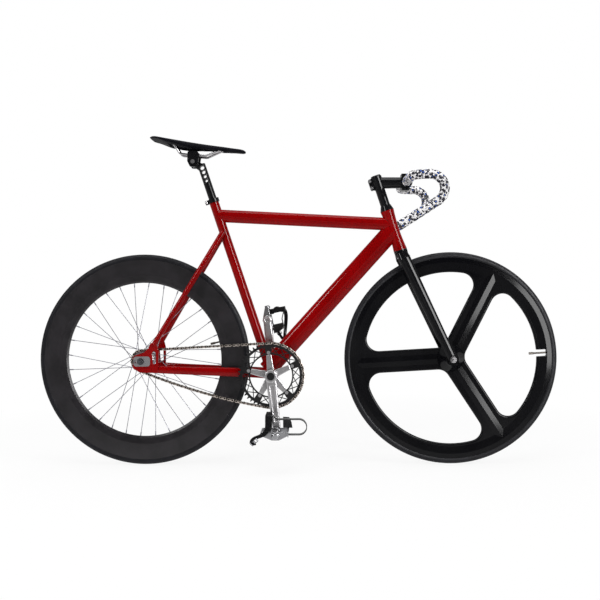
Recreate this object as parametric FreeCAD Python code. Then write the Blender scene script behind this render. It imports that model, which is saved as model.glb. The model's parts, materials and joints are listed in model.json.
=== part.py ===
import FreeCAD, Part
import math
import os

# A fixed gear track bicycle standing upright with its wheels in line.
# Millimetres. +X points forward, +Y to the rider's left, +Z up.
# The origin lies on the ground, midway between the two wheel centres.

# Wheels and where they stand
tyre_radius = 334.0
tyre_width = 23.0
wheelbase = 968.0
bead_radius = 311.0
rim_edge_radius = 317.0
rim_width = 21.0
rim_wall = 2.4

# Frame angles, measured from the ground, and sizes
seat_angle = 71.8
head_angle = 71.8
bracket_drop = 48.0
stay_length = 407.0
seat_tube_length = 577.0
seat_tube_diameter = 30.0
tube_wall = 2.0
oval_nose = 1.15
oval_roundest = 0.9
top_tube_height = 40.0
top_tube_width = 32.0
top_tube_rear_drop = 48.0
top_tube_front_drop = 45.3
down_tube_height = 58.0
down_tube_width = 38.0
down_tube_head_rise = 67.9
down_tube_offset = 20.0
head_tube_length = 130.0
head_tube_end_diameter = 43.0
head_tube_waist_diameter = 35.0
shell_width = 68.0
shell_radius = 21.0
seat_stay_diameter = 18.0
seat_stay_drop = 101.2
chain_stay_height = 29.0
chain_stay_tip_height = 22.0
rear_spacing = 120.0
front_spacing = 100.0
dropout_thickness = 6.0

# Fork and steering
fork_offset = 41.0
head_bottom_rise = 374.0
blade_top_depth = 37.0
blade_tip_depth = 27.0
blade_top_width = 24.0
blade_tip_width = 13.0
crown_height = 30.0
steerer_diameter = 25.4
steerer_wall = 2.2
sleeve_diameter = 30.0
cover_height = 17.0
stem_height = 36.0
stem_width = 32.0
stem_reach = 87.0
stem_rise = 92.0
clamp_length = 40.0

# Handlebar
bar_clamp_diameter = 25.8
bar_diameter = 23.8
tape_thickness = 2.5
bar_half_width = 205.0
bar_corner_radius = 45.0
bar_ramp = 4.0
drop_radius = 42.0
drop_turn = 147.4
drop_straight = 131.0
tape_start = 32.0
tape_gap = 4.0
plug_dome = 4.0
plug_rim = 1.5

# Drive
chain_pitch = 12.7
ring_teeth = 50
cog_teeth = 16
chain_line = 43.0
chain_sag = 11.0
roller_diameter = 7.8
inner_gap = 3.4
plate_thickness = 1.0
plate_height = 8.6
plate_shoulder = 1.2
ring_thickness = 2.9
ring_inner_radius = 65.5
bolt_circle_radius = 72.0
crank_length = 170.0
crank_angle = -84.0
crank_inner_face = 54.0
crank_outer_face = 70.0
crank_hub_radius = 19.0
crank_eye_radius = 14.0
spindle_radius = 8.5

# Saddle and post
post_diameter = 25.4
post_insertion = 110.0
rail_radius = 3.5
rail_spread = 44.0
saddle_length = 295.0
saddle_half_width = 71.0
saddle_depth = 20.0
saddle_slope = 8.1

# Fits
running_fit = 0.05
seat_fit = 0.02
clear = 0.3

# How far a cutting shape runs past the face that it opens, and well past a whole piece
over = 1.0
well_past = 60.0

OUT = "parts"
os.makedirs(OUT, exist_ok=True)
V = FreeCAD.Vector
ACROSS = V(0, 1, 0)
UP = V(0, 0, 1)


def save(name, *shapes):
    """Write one node: one or more separate solids."""
    solids = []
    for shape in shapes:
        solids.extend(shape.Solids)
    body = solids[0] if len(solids) == 1 else Part.makeCompound(solids)
    body.exportStep(os.path.join(OUT, name + ".step"))


def largest(shape):
    return max(shape.Solids, key=lambda solid: solid.Volume)


def mirror(shape):
    """The same piece on the other side of the bike's middle plane."""
    return shape.mirror(V(0, 0, 0), ACROSS)


def rod(start, end, radius):
    along = end - start
    return Part.makeCylinder(radius, along.Length, start, along)


def pipe(start, end, outer, inner):
    return rod(start, end, outer).cut(rod(start, end, inner))


def disc(centre, y_from, y_to, radius):
    """A cylinder across the bike between two y values."""
    start = V(centre.x, y_from, centre.z)
    end = V(centre.x, y_to, centre.z)
    return rod(start, end, radius)


def ring(centre, y_from, y_to, outer, inner):
    return disc(centre, y_from, y_to, outer).cut(disc(centre, y_from, y_to, inner))


def polygon(points):
    return Part.Face(Part.makePolygon(points + points[:1]))


def plate(outline, y_from, y_to):
    """A flat plate across the bike from an outline of (x, z) points."""
    face = polygon([V(x, y_from, z) for x, z in outline])
    return face.extrude(V(0, y_to - y_from, 0))


def rounded(solid, radius, picks=None):
    """Round the edges that run across the bike, or those that picks chooses."""
    edges = []
    for edge in solid.Edges:
        if len(edge.Vertexes) < 2:
            continue
        a = edge.Vertexes[0].Point
        b = edge.Vertexes[1].Point
        runs_across = abs(abs((b - a).y) - (b - a).Length) < 1e-6
        if runs_across and (picks is None or picks(a)):
            edges.append(edge)
    return solid.makeFillet(radius, edges)


def spun(profile, centre):
    """Turn a closed outline of (radius, y) points about the wheel axis through centre."""
    face = polygon([V(centre.x + r, y, centre.z) for r, y in profile])
    return face.revolve(V(centre.x, 0, centre.z), ACROSS, 360)


def turned(profile, base, along):
    """Turn a closed outline of (radius, distance) points about an axis that starts at base."""
    side = along.cross(ACROSS)
    side.normalize()
    face = polygon([base + side * r + along * d for r, d in profile])
    return face.revolve(base, along, 360)


def oval(centre, along, height, width):
    """An oval of four arcs square to along; its width lies across the bike."""
    tall = ACROSS.cross(along)
    tall.normalize()
    wide = along.cross(tall)
    wide.normalize()
    if abs(height - width) < 1e-6:
        return Part.Wire(Part.makeCircle(height / 2, centre, along))
    if height < width:
        tall, wide = wide, tall * -1
    long_half = max(height, width) / 2
    short_half = min(height, width) / 2
    nose = min(oval_nose * short_half ** 2 / long_half, oval_roundest * short_half)
    reach = long_half - nose
    flank = (reach ** 2 + short_half ** 2 - nose ** 2) / (2 * (short_half - nose))
    lean = math.atan2(flank - short_half, reach)
    corner = (reach + nose * math.cos(lean), nose * math.sin(lean))
    ends = []
    for a, b in ((1, -1), (1, 1), (-1, 1), (-1, -1)):
        ends.append(centre + tall * (a * corner[0]) + wide * (b * corner[1]))
    crests = [tall * long_half, wide * short_half, tall * -long_half, wide * -short_half]
    arcs = []
    for place, crest in enumerate(crests):
        arcs.append(Part.Arc(ends[place], centre + crest, ends[(place + 1) % 4]).toShape())
    return Part.Wire(arcs)


def oval_bar(start, end, heights, widths):
    """A straight or tapering oval bar between two points."""
    along = end - start
    direction = V(along)
    direction.normalize()
    first = oval(start, direction, heights[0], widths[0])
    if heights[0] == heights[1] and widths[0] == widths[1]:
        return Part.Face(first).extrude(along)
    last = oval(end, direction, heights[1], widths[1])
    return Part.makeLoft([first, last], True, True)


def oval_pipe(start, end, heights, widths, wall):
    inner_heights = [size - 2 * wall for size in heights]
    inner_widths = [size - 2 * wall for size in widths]
    outer = oval_bar(start, end, heights, widths)
    return outer.cut(oval_bar(start, end, inner_heights, inner_widths))


def swept(edges, radius):
    """A round bar along edges that join smoothly."""
    path = Part.Wire(edges)
    first = edges[0]
    start = first.valueAt(first.FirstParameter)
    along = first.tangentAt(first.FirstParameter)
    profile = Part.Wire(Part.makeCircle(radius, start, along))
    return path.makePipeShell([profile], True, False)


def hexagon(start, end, across_flats):
    """A hexagonal prism between two points."""
    along = end - start
    side = along.cross(UP)
    if side.Length < 1e-6:
        side = along.cross(V(1, 0, 0))
    side.normalize()
    other = along.cross(side)
    other.normalize()
    reach = across_flats / math.sqrt(3)
    corners = []
    for step in range(6):
        turn = math.radians(60 * step)
        corners.append(start + side * (reach * math.cos(turn)) + other * (reach * math.sin(turn)))
    return polygon(corners).extrude(along)


def polar(centre, radius, degrees, y=0.0):
    """A point in a plane across the bike, at an angle from straight ahead."""
    turn = math.radians(degrees)
    return V(centre.x + radius * math.cos(turn), y, centre.z + radius * math.sin(turn))


# Places that everything hangs on

front_centre = V(wheelbase / 2, 0, tyre_radius)
rear_centre = V(-wheelbase / 2, 0, tyre_radius)


def sprocket_radius(teeth):
    return chain_pitch / 2 / math.sin(math.pi / teeth)


ring_radius = sprocket_radius(ring_teeth)
cog_radius = sprocket_radius(cog_teeth)

# The chain wraps a whole number of links on each sprocket and the two runs between are whole too.
lean = math.asin((ring_radius - cog_radius) / stay_length)
cog_wrap = round(cog_teeth * (0.5 - lean / math.pi))
ring_wrap = cog_wrap + 2 * round((ring_teeth * (0.5 + lean / math.pi) - cog_wrap) / 2)
run_links = round(math.sqrt(stay_length ** 2 - (ring_radius - cog_radius) ** 2) / chain_pitch)
ring_last = math.pi * ring_wrap / ring_teeth
cog_last = math.pi * cog_wrap / cog_teeth
run_drop = ring_radius * math.sin(ring_last) - cog_radius * math.sin(cog_last)
run_along = math.sqrt((run_links * chain_pitch) ** 2 - run_drop ** 2)
chain_centres = run_along - ring_radius * math.cos(ring_last) - cog_radius * math.cos(cog_last)

bracket = V(rear_centre.x + math.sqrt(chain_centres ** 2 - bracket_drop ** 2), 0, tyre_radius - bracket_drop)

seat_up = V(-math.cos(math.radians(seat_angle)), 0, math.sin(math.radians(seat_angle)))
head_up = V(-math.cos(math.radians(head_angle)), 0, math.sin(math.radians(head_angle)))
head_ahead = V(head_up.z, 0, -head_up.x)
seat_top = bracket + seat_up * seat_tube_length

# The steering axis passes the front axle at the fork's offset.
axis_foot = front_centre - head_ahead * fork_offset
head_bottom = axis_foot + head_up * head_bottom_rise
head_top = head_bottom + head_up * head_tube_length


outer_seat = seat_tube_diameter / 2
half_shell = shell_width / 2
post_bore = post_diameter / 2 + running_fit
half_rear = rear_spacing / 2
half_front = front_spacing / 2

# Main frame tubes, each mitred to the tube that it meets

head_radius = head_tube_end_diameter / 2
waist_radius = head_tube_waist_diameter / 2
bearing_height = 8.7
bearing_radius = 18.0
head_bore = 14.5
head_stations = 9


def head_outline():
    """The head tube's outside, drawn in to a waist between its two flared ends."""
    outline = []
    for step in range(head_stations):
        share = step / (head_stations - 1)
        swell = (2 * share - 1) ** 2
        radius = waist_radius + (head_radius - waist_radius) * swell
        outline.append((radius, share * head_tube_length))
    return outline


head_seat = bearing_radius + seat_fit
head_solid = turned([(0, 0)] + head_outline() + [(0, head_tube_length)], head_bottom, head_up)
head_inside = [
    (head_seat, head_tube_length),
    (head_seat, head_tube_length - bearing_height),
    (head_bore, head_tube_length - bearing_height),
    (head_bore, bearing_height),
    (head_seat, bearing_height),
    (head_seat, 0),
]
head_tube = turned(head_outline() + head_inside, head_bottom, head_up)

shell_solid = disc(bracket, -half_shell, half_shell, shell_radius)
shell_bore = 17.5
bottom_bracket_shell = shell_solid.cut(disc(bracket, -half_shell, half_shell, shell_bore))

seat_solid = rod(bracket, seat_top, outer_seat)
seat_tube = largest(pipe(bracket, seat_top, outer_seat, post_bore).cut(shell_solid))

down_end = head_bottom + head_up * down_tube_head_rise
down_along = down_end - bracket
down_along.normalize()
down_start = bracket - ACROSS.cross(down_along) * down_tube_offset
down_sizes = ([down_tube_height] * 2, [down_tube_width] * 2)
down_solid = oval_bar(down_start, down_end, *down_sizes)
down_tube = oval_pipe(down_start, down_end, *down_sizes, tube_wall)
for other in (head_solid, shell_solid, seat_solid):
    down_tube = largest(down_tube.cut(other))

top_start = seat_top - seat_up * top_tube_rear_drop
top_end = head_top - head_up * top_tube_front_drop
top_sizes = ([top_tube_height] * 2, [top_tube_width] * 2)
top_tube = oval_pipe(top_start, top_end, *top_sizes, tube_wall)
for other in (seat_solid, head_solid, down_solid):
    top_tube = largest(top_tube.cut(other))

save("head_tube", head_tube)
save("bottom_bracket_shell", bottom_bracket_shell)
save("seat_tube", seat_tube)
save("down_tube", down_tube)
save("top_tube", top_tube)

# Rear dropouts: a plate each side with a slot that opens to the rear, and a steel facing

axle_radius = 5.0
slot_mouth = 24.0
drop_inner = half_rear
drop_outer = half_rear + dropout_thickness
facing_thickness = 2.0
facing_back = 22.0
facing_front = 30.0
facing_half = 15.5
facing_corner = 9.0
drop_corner = 4.0
drop_window_corner = 4.5
slot_play = 0.2
slot_half = axle_radius + slot_play


def about_axle(*offsets):
    return [(rear_centre.x + x, rear_centre.z + z) for x, z in offsets]


stay_tip = (36.0, -25.0)
seat_stay_tip = (40.0, 50.0)
drop_outline = about_axle(
    (-slot_mouth, facing_half - 3), (-17, 19), (10, 27), (24, 40), (32, 58), (51, 52),
    (56, 30), (55, -12), (52, -36), (30, -36), (-3, -34), (-slot_mouth, -facing_half - 6),
)
window_outline = about_axle((35, 26), (47, 38), (48, -7), (38, -13))
slot_outline = about_axle(
    (-well_past, -slot_half), (0, -slot_half), (0, slot_half), (-well_past, slot_half)
)
facing_outline = about_axle(
    (-facing_back, -facing_half), (facing_front, -facing_half),
    (facing_front, facing_half), (-facing_back, facing_half),
)


def axle_slot(y_from, y_to):
    return plate(slot_outline, y_from, y_to).fuse(disc(rear_centre, y_from, y_to, slot_half))


def dropout():
    body = rounded(plate(drop_outline, drop_inner, drop_outer), drop_corner)
    window = rounded(plate(window_outline, drop_inner - over, drop_outer + over), drop_window_corner)
    return largest(body.cut(window).cut(axle_slot(drop_inner - over, drop_outer + over)))


def facing():
    body = rounded(plate(facing_outline, drop_outer, drop_outer + facing_thickness), facing_corner)
    return largest(body.cut(axle_slot(drop_outer - over, drop_outer + facing_thickness + over)))


left_dropout = dropout()
left_facing = facing()
save("dropouts", mirror(left_dropout), left_dropout)
save("dropout_facings", mirror(left_facing), left_facing)

# Chain stays bow in past the tyre and the chainring, and seat stays run straight

drop_middle = (drop_inner + drop_outer) / 2
chain_stay_width = 16.0
chain_stay_tip_width = 10.0
seat_stay_lap = 1.0
seat_stay_taper = 3.0

# Stations of a chain stay: behind the bracket, across, above it, and what its height gains there
chain_stay_stations = [(0.0, 17.0, 2.0, 2.0), (72.0, 25.0, 7.0, 0.0), (215.0, 38.0, 14.0, -3.0)]


def chain_stay():
    """The left chain stay: a bowed oval bar through four stations."""
    stations = []
    heights = []
    for behind, across, above, gain in chain_stay_stations:
        stations.append(V(bracket.x - behind, across, bracket.z + above))
        heights.append(chain_stay_height + gain)
    stations.append(V(rear_centre.x + stay_tip[0], drop_middle, rear_centre.z + stay_tip[1]))
    heights.append(chain_stay_tip_height)
    widths = [chain_stay_width] * len(chain_stay_stations) + [chain_stay_tip_width]
    wires = []
    for place, point in enumerate(stations):
        before = stations[max(place - 1, 0)]
        after = stations[min(place + 1, len(stations) - 1)]
        along = after - before
        along.normalize()
        wires.append(oval(point, along, heights[place], widths[place]))
    return Part.makeLoft(wires, True, False)


def seat_stay():
    """The left seat stay, from the back of the seat tube down to its dropout."""
    top = seat_top - seat_up * seat_stay_drop + ACROSS * (outer_seat + seat_stay_lap)
    tip = V(rear_centre.x + seat_stay_tip[0], drop_middle, rear_centre.z + seat_stay_tip[1])
    sizes = [seat_stay_diameter, seat_stay_diameter - seat_stay_taper]
    return oval_bar(top, tip, sizes, sizes)


left_chain_stay = chain_stay()
for other in (shell_solid, seat_solid, down_solid, left_dropout):
    left_chain_stay = largest(left_chain_stay.cut(other))
left_seat_stay = seat_stay()
for other in (seat_solid, left_dropout):
    left_seat_stay = largest(left_seat_stay.cut(other))
save("chain_stays", mirror(left_chain_stay), left_chain_stay)
save("seat_stays", mirror(left_seat_stay), left_seat_stay)

# Seat collar with its rear bolt

collar_height = 12.0
collar_lap = 4.0
collar_wall = 3.2
collar_split = 2.0
collar_ear = 9.0
collar_ear_width = 16.0
collar_ear_lap = 1.0
collar_bolt_radius = 2.5
collar_head_radius = 4.3
collar_head_length = 4.0
collar_nut_length = 3.0
collar_inner = outer_seat + seat_fit
collar_base = seat_top - seat_up * collar_lap
collar_top = collar_base + seat_up * collar_height
collar_middle = collar_base + seat_up * (collar_height / 2)
seat_back = V(-seat_up.z, 0, seat_up.x)
ear_middle = collar_middle + seat_back * (collar_inner + collar_wall + collar_ear / 2 - collar_ear_lap)


def along_box(middle, along, side, lengths):
    """A box about middle: sizes along the first direction, the second, and across the bike."""
    corners = []
    for a, b in ((-1, -1), (1, -1), (1, 1), (-1, 1)):
        corners.append(middle + along * (a * lengths[0] / 2) + side * (b * lengths[1] / 2))
    half = ACROSS * (lengths[2] / 2)
    return polygon([corner - half for corner in corners]).extrude(half * 2)


collar = rod(collar_base, collar_top, collar_inner + collar_wall)
ears = along_box(ear_middle, seat_up, seat_back, (collar_height, collar_ear, collar_ear_width))
collar_cut = along_box(ear_middle, seat_up, seat_back, (collar_height * 2, collar_ear * 3, collar_split))
split_collar = collar.fuse(ears).cut(rod(collar_base, collar_top, collar_inner)).cut(collar_cut)
bolt_axis = ear_middle + seat_back * collar_ear_lap
ear_face = collar_ear_width / 2
bolt_hole = disc(bolt_axis, -ear_face - over, ear_face + over, collar_bolt_radius + seat_fit)
seat_collar = largest(split_collar.cut(bolt_hole))
collar_shank = disc(bolt_axis, -ear_face, ear_face + collar_nut_length, collar_bolt_radius)
collar_head = disc(bolt_axis, -ear_face - collar_head_length, -ear_face, collar_head_radius)
collar_nut = disc(bolt_axis, ear_face, ear_face + collar_nut_length, collar_head_radius)
save("seat_collar", seat_collar)
save("seat_collar_bolt", collar_shank.fuse([collar_head, collar_nut]))

# Headset

bearing_bore = steerer_diameter / 2 + running_fit
lower_bearing = pipe(head_bottom, head_bottom + head_up * bearing_height, bearing_radius, bearing_bore)
upper_bearing = pipe(head_top - head_up * bearing_height, head_top, bearing_radius, bearing_bore)
save("headset_bearings", lower_bearing, upper_bearing)

# Bottom bracket: two cups in the shell, each with a bearing on the spindle

cup_radius = shell_bore - seat_fit
cup_inner = 14.0
cup_depth = 18.0
cup_flange = 3.0
cup_flange_step = 1.0
bracket_bearing_from = half_shell - cup_depth + 4.0
bracket_bearing_to = half_shell - 2.0
bracket_bearing_radius = cup_inner - seat_fit


def cup():
    inside = ring(bracket, half_shell - cup_depth, half_shell, cup_radius, cup_inner)
    flange = ring(bracket, half_shell, half_shell + cup_flange, shell_radius - cup_flange_step, cup_inner)
    return inside.fuse(flange)


left_cup = cup()
left_bearing = ring(
    bracket, bracket_bearing_from, bracket_bearing_to, bracket_bearing_radius, spindle_radius + running_fit
)
save("bottom_bracket_cups", mirror(left_cup), left_cup, mirror(left_bearing), left_bearing)

# Rear axle with its cones and the two track nuts

cone_radius = 8.0
nut_flats = 15.0
nut_length = 9.0
washer_thickness = 2.0
washer_margin = 2.5
axle_end = 8.0
axle_end_step = 0.4
hub_bearing_radius = 13.0
rear_hub_half = 50.0
face_outer = drop_outer + facing_thickness
left_cone = ring(rear_centre, rear_hub_half + clear, half_rear, cone_radius, axle_radius + seat_fit)


def axle_rod(centre, face, radius):
    """An axle that ends beyond both nuts in two plain turned-down ends."""
    nut_face = face + washer_thickness + nut_length
    end_face = nut_face + axle_end
    middle = disc(centre, -nut_face, nut_face, radius)
    return middle.fuse(disc(centre, -end_face, end_face, radius - axle_end_step))


def axle_nut(centre, face, bolt_radius):
    nut_foot = V(centre.x, face + washer_thickness, centre.z)
    washer = disc(centre, face, face + washer_thickness, nut_flats / 2 + washer_margin)
    nut = hexagon(nut_foot, nut_foot + ACROSS * nut_length, nut_flats)
    return washer.fuse(nut).cut(disc(centre, face - over, face + well_past, bolt_radius + seat_fit))


left_rear_nut = axle_nut(rear_centre, face_outer, axle_radius)
rear_axle = axle_rod(rear_centre, face_outer, axle_radius)
save("rear_axle", rear_axle, mirror(left_cone), left_cone, mirror(left_rear_nut), left_rear_nut)

# Fork: a crown under the head tube and two straight raked blades

blade_spread_top = 41.0
blade_tip_spread = half_front + blade_tip_width / 2
blade_tip_radius = 13.5
blade_overrun = 6.0
front_axle_radius = 4.5
socket_gap = 8.0
socket_lip = 1.5
socket_top_narrowing = 8.0
bridge_height = 20.0
bridge_depth = 32.0
crown_neck = crown_height * 0.7
crown_bore = crown_height * 0.6
steerer_below_cap = 3.0
crown_top = head_bottom - head_up * clear
blade_root = head_bottom - head_up * crown_height
steerer_radius = steerer_diameter / 2
clamp_middle = head_top + head_up * stem_rise
clamp_bottom = clamp_middle - head_up * (clamp_length / 2)
clamp_top = clamp_middle + head_up * (clamp_length / 2)


def blade_line():
    root = blade_root + ACROSS * blade_spread_top
    tip = V(front_centre.x, blade_tip_spread, front_centre.z)
    along = tip - root
    along.normalize()
    return root, tip, along


def blade():
    """The left blade: a tapering oval leg with a round tip about the axle."""
    root, tip, along = blade_line()
    depths = [blade_top_depth, blade_tip_depth]
    leg = oval_bar(root, tip + along * blade_overrun, depths, [blade_top_width, blade_tip_width])
    end = disc(front_centre, half_front, half_front + blade_tip_width, blade_tip_radius)
    inside = disc(front_centre, 0, half_front, well_past)
    outside = disc(front_centre, half_front + blade_tip_width, 2 * half_front, well_past)
    hole = disc(front_centre, 0, half_front * 2, front_axle_radius + seat_fit)
    return largest(leg.fuse(end).cut(inside).cut(outside).cut(hole))


def crown():
    """Two sockets over the blade roots, bridged under the lower bearing."""
    root, tip, along = blade_line()
    socket_top = root - along * (crown_height - socket_gap)
    depths = [blade_top_depth - socket_top_narrowing, blade_top_depth + socket_lip]
    widths = [blade_top_width - socket_top_narrowing, blade_top_width + socket_lip]
    socket = oval_bar(socket_top, root, depths, widths)
    bridge_middle = head_bottom - head_up * (crown_height / 2)
    bridge_lengths = (bridge_height, bridge_depth, 2 * blade_spread_top)
    bridge = along_box(bridge_middle, head_up, head_ahead, bridge_lengths)
    neck = turned(
        [(0, 0), (head_radius, 0), (head_radius - over, crown_neck), (0, crown_neck)],
        crown_top, head_up * -1,
    )
    body = neck.fuse([bridge, socket, mirror(socket)])
    bore = rod(crown_top - head_up * crown_bore, crown_top + head_up * over, steerer_radius + seat_fit)
    return largest(body.cut(bore))


left_blade = blade()
save("fork_blades", mirror(left_blade), left_blade)
save("fork_crown", crown())
steerer_foot = crown_top - head_up * crown_bore
steerer_head = clamp_top - head_up * steerer_below_cap
save("steerer_tube", pipe(steerer_foot, steerer_head, steerer_radius, steerer_radius - steerer_wall))

cover_foot = head_top + head_up * clear
cover_head = head_top + head_up * cover_height
sleeve_radius = sleeve_diameter / 2
cover_rim = 3.0
cover_step = 1.0
cover_profile = [
    (steerer_radius + seat_fit, 0), (head_radius, 0), (head_radius - cover_step, cover_rim),
    (sleeve_radius + cover_step, cover_height - clear), (steerer_radius + seat_fit, cover_height - clear),
]
save("headset_top_cover", turned(cover_profile, cover_foot, head_up))
save("steerer_sleeve", pipe(cover_head, clamp_bottom, sleeve_radius, steerer_radius + seat_fit))

# Stem: a clamp on the steerer, a level extension and a two piece bar clamp

stem_clamp_radius = 17.5
bar_centre = V(clamp_middle.x + stem_reach, 0, clamp_middle.z)
bar_clamp_bore = bar_clamp_diameter / 2 + running_fit
bar_clamp_radius = 19.5
bar_clamp_half = 22.0
jaw_half_height = 26.0
jaw_depth = 14.0
jaw_gap = 1.2
face_bolt_radius = 2.5
face_bolt_rise = 22.0
face_bolt_spread = 15.0
face_bolt_head = 5.0
face_bolt_head_radius = 4.2
plate_lug = 9.0
rear_ear = 14.0
rear_ear_lap = 4.0
rear_ear_width = 20.0
rear_ear_corner = 4.0
rear_bolt_inset = 8.0
rear_bolt_rise = clamp_length * 0.27
stem_split = 2.0
stem_nose_drop = 2.0
cap_height = 5.0
half_space = 120.0


def front_of_bar(sign, shift):
    """A large block on one side of the bar's middle plane."""
    middle = bar_centre + V(sign * (half_space / 2 - shift), 0, 0)
    return along_box(middle, UP, V(1, 0, 0), (half_space, half_space, half_space))


def stem_body():
    column = rod(clamp_bottom, clamp_top, stem_clamp_radius)
    reach = oval_bar(clamp_middle, bar_centre, [stem_height, stem_height - stem_nose_drop], [stem_width] * 2)
    jaw = disc(bar_centre, -bar_clamp_half, bar_clamp_half, bar_clamp_radius)
    lug_middle = bar_centre - V(jaw_depth / 2, 0, 0)
    lug = along_box(lug_middle, UP, V(1, 0, 0), (2 * jaw_half_height, jaw_depth, 2 * bar_clamp_half))
    ears_middle = clamp_middle - head_ahead * (stem_clamp_radius + rear_ear / 2 - rear_ear_lap)
    ears_lengths = (clamp_length - rear_ear_lap, rear_ear, rear_ear_width)
    rear = along_box(ears_middle, head_up, head_ahead, ears_lengths)
    body = column.fuse([reach, jaw, lug, rounded(rear, rear_ear_corner)])
    split = along_box(ears_middle, head_up, head_ahead, (clamp_length * 2, rear_ear * 3, stem_split))
    body = body.cut(front_of_bar(1, 0.0)).cut(disc(bar_centre, -well_past, well_past, bar_clamp_bore))
    body = body.cut(rod(clamp_bottom, clamp_top, steerer_radius + seat_fit)).cut(split)
    body = body.cut(rod(cover_head, clamp_bottom, sleeve_radius + seat_fit))
    for place in face_bolt_places():
        hole = rod(place - V(jaw_depth, 0, 0), place + V(jaw_depth, 0, 0), face_bolt_radius + seat_fit)
        body = body.cut(hole)
    for place in rear_bolt_places():
        body = body.cut(disc(place, -rear_ear_width, rear_ear_width, face_bolt_radius + seat_fit))
    return largest(body)


def face_bolt_places():
    places = []
    for rise in (-face_bolt_rise, face_bolt_rise):
        for across in (-face_bolt_spread, face_bolt_spread):
            places.append(bar_centre + V(0, across, rise))
    return places


def rear_bolt_places():
    back = clamp_middle - head_ahead * (stem_clamp_radius + rear_ear - rear_bolt_inset)
    return [back + head_up * rear_bolt_rise, back - head_up * rear_bolt_rise]


def faceplate():
    jaw = disc(bar_centre, -bar_clamp_half, bar_clamp_half, bar_clamp_radius)
    lug_middle = bar_centre + V(plate_lug / 2, 0, 0)
    lug = along_box(lug_middle, UP, V(1, 0, 0), (2 * jaw_half_height, plate_lug, 2 * bar_clamp_half))
    body = jaw.fuse(lug).cut(front_of_bar(-1, jaw_gap))
    body = body.cut(disc(bar_centre, -well_past, well_past, bar_clamp_bore))
    for place in face_bolt_places():
        body = body.cut(rod(place, place + V(2 * plate_lug, 0, 0), face_bolt_radius + seat_fit))
    return largest(body)


def stem_bolts():
    bolts = []
    for place in face_bolt_places():
        seat = place + V(plate_lug, 0, 0)
        shank = rod(place - V(jaw_depth - over, 0, 0), seat, face_bolt_radius)
        bolts.append(shank.fuse(rod(seat, seat + V(face_bolt_head, 0, 0), face_bolt_head_radius)))
    ear = rear_ear_width / 2
    for place in rear_bolt_places():
        shank = disc(place, -ear, ear, face_bolt_radius)
        head = disc(place, -ear - face_bolt_head, -ear, face_bolt_head_radius)
        nut = disc(place, ear, ear + face_bolt_head / 2, face_bolt_head_radius)
        bolts.append(shank.fuse([head, nut]))
    return bolts


save("stem", stem_body())
save("stem_faceplate", faceplate())
save("stem_bolts", *stem_bolts())
cap_radius = stem_clamp_radius - 1.0
cap_profile = [(0, 0), (cap_radius, 0), (cap_radius - 2.0, cap_height - 1.0), (0, cap_height)]
save("stem_cap", turned(cap_profile, clamp_top, head_up))

# Handlebar: straight top, a corner to each side, then a deep round drop


def half_bar(start):
    """Edges along the left half of the bar, from a distance out from the middle to its end."""
    top = bar_centre + ACROSS * start
    out = bar_centre + ACROSS * (bar_half_width - bar_corner_radius)
    pivot = out + V(bar_corner_radius, 0, 0)
    turn = math.radians(45)
    mid = pivot + V(-math.cos(turn), math.sin(turn), 0) * bar_corner_radius
    ahead = pivot + ACROSS * bar_corner_radius
    ramp_end = ahead + V(bar_ramp, 0, 0)
    hub = ramp_end - UP * drop_radius
    bend = math.radians(drop_turn)
    half_bend = bend / 2
    drop_mid = hub + V(math.sin(half_bend), 0, math.cos(half_bend)) * drop_radius
    drop_end = hub + V(math.sin(bend), 0, math.cos(bend)) * drop_radius
    tip = drop_end + V(math.cos(bend), 0, -math.sin(bend)) * drop_straight
    return [
        Part.makeLine(top, out),
        Part.Arc(out, mid, ahead).toShape(),
        Part.makeLine(ahead, ramp_end),
        Part.Arc(ramp_end, drop_mid, drop_end).toShape(),
        Part.makeLine(drop_end, tip),
    ]


bar_radius = bar_diameter / 2
tape_radius = bar_radius + tape_thickness
half = swept(half_bar(0.0), bar_radius)
sleeve_half = tape_start - tape_gap
centre_sleeve = disc(bar_centre, -sleeve_half, sleeve_half, bar_clamp_diameter / 2)
save("handlebar", largest(half.fuse([mirror(half), centre_sleeve])))
tape_edges = half_bar(tape_start)
left_tape = swept(tape_edges, tape_radius).cut(swept(tape_edges, bar_radius + seat_fit))
save("bar_tape", mirror(left_tape), left_tape)
bar_tip = tape_edges[-1].valueAt(tape_edges[-1].LastParameter)
bar_tip_along = tape_edges[-1].tangentAt(tape_edges[-1].LastParameter)
plug_profile = [(0, 0), (tape_radius, 0), (tape_radius - plug_rim, plug_dome - plug_rim), (0, plug_dome)]
left_plug = turned(plug_profile, bar_tip, bar_tip_along)
save("bar_end_plugs", mirror(left_plug), left_plug)

# Front axle and nuts

spacer_length = 4.0
front_hub_half = half_front - spacer_length
front_axle = axle_rod(front_centre, half_front + blade_tip_width, front_axle_radius)
left_front_nut = axle_nut(front_centre, half_front + blade_tip_width, front_axle_radius)
spacer_bore = front_axle_radius + seat_fit
left_spacer = ring(front_centre, front_hub_half + clear, half_front, cone_radius, spacer_bore)
save("front_axle", front_axle, mirror(left_front_nut), left_front_nut, mirror(left_spacer), left_spacer)

# Tyres: a hollow casing that hooks inside the rim's two edges

tyre_centre_radius = tyre_radius - tyre_width / 2
casing = 2.2
rim_lip = 2.5
bead_thickness = 2.4
tread_steps = 10
casing_shares = (-1.0, -0.5, 0.0, 0.5, 1.0)
casing_turn = math.radians(115)


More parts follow.
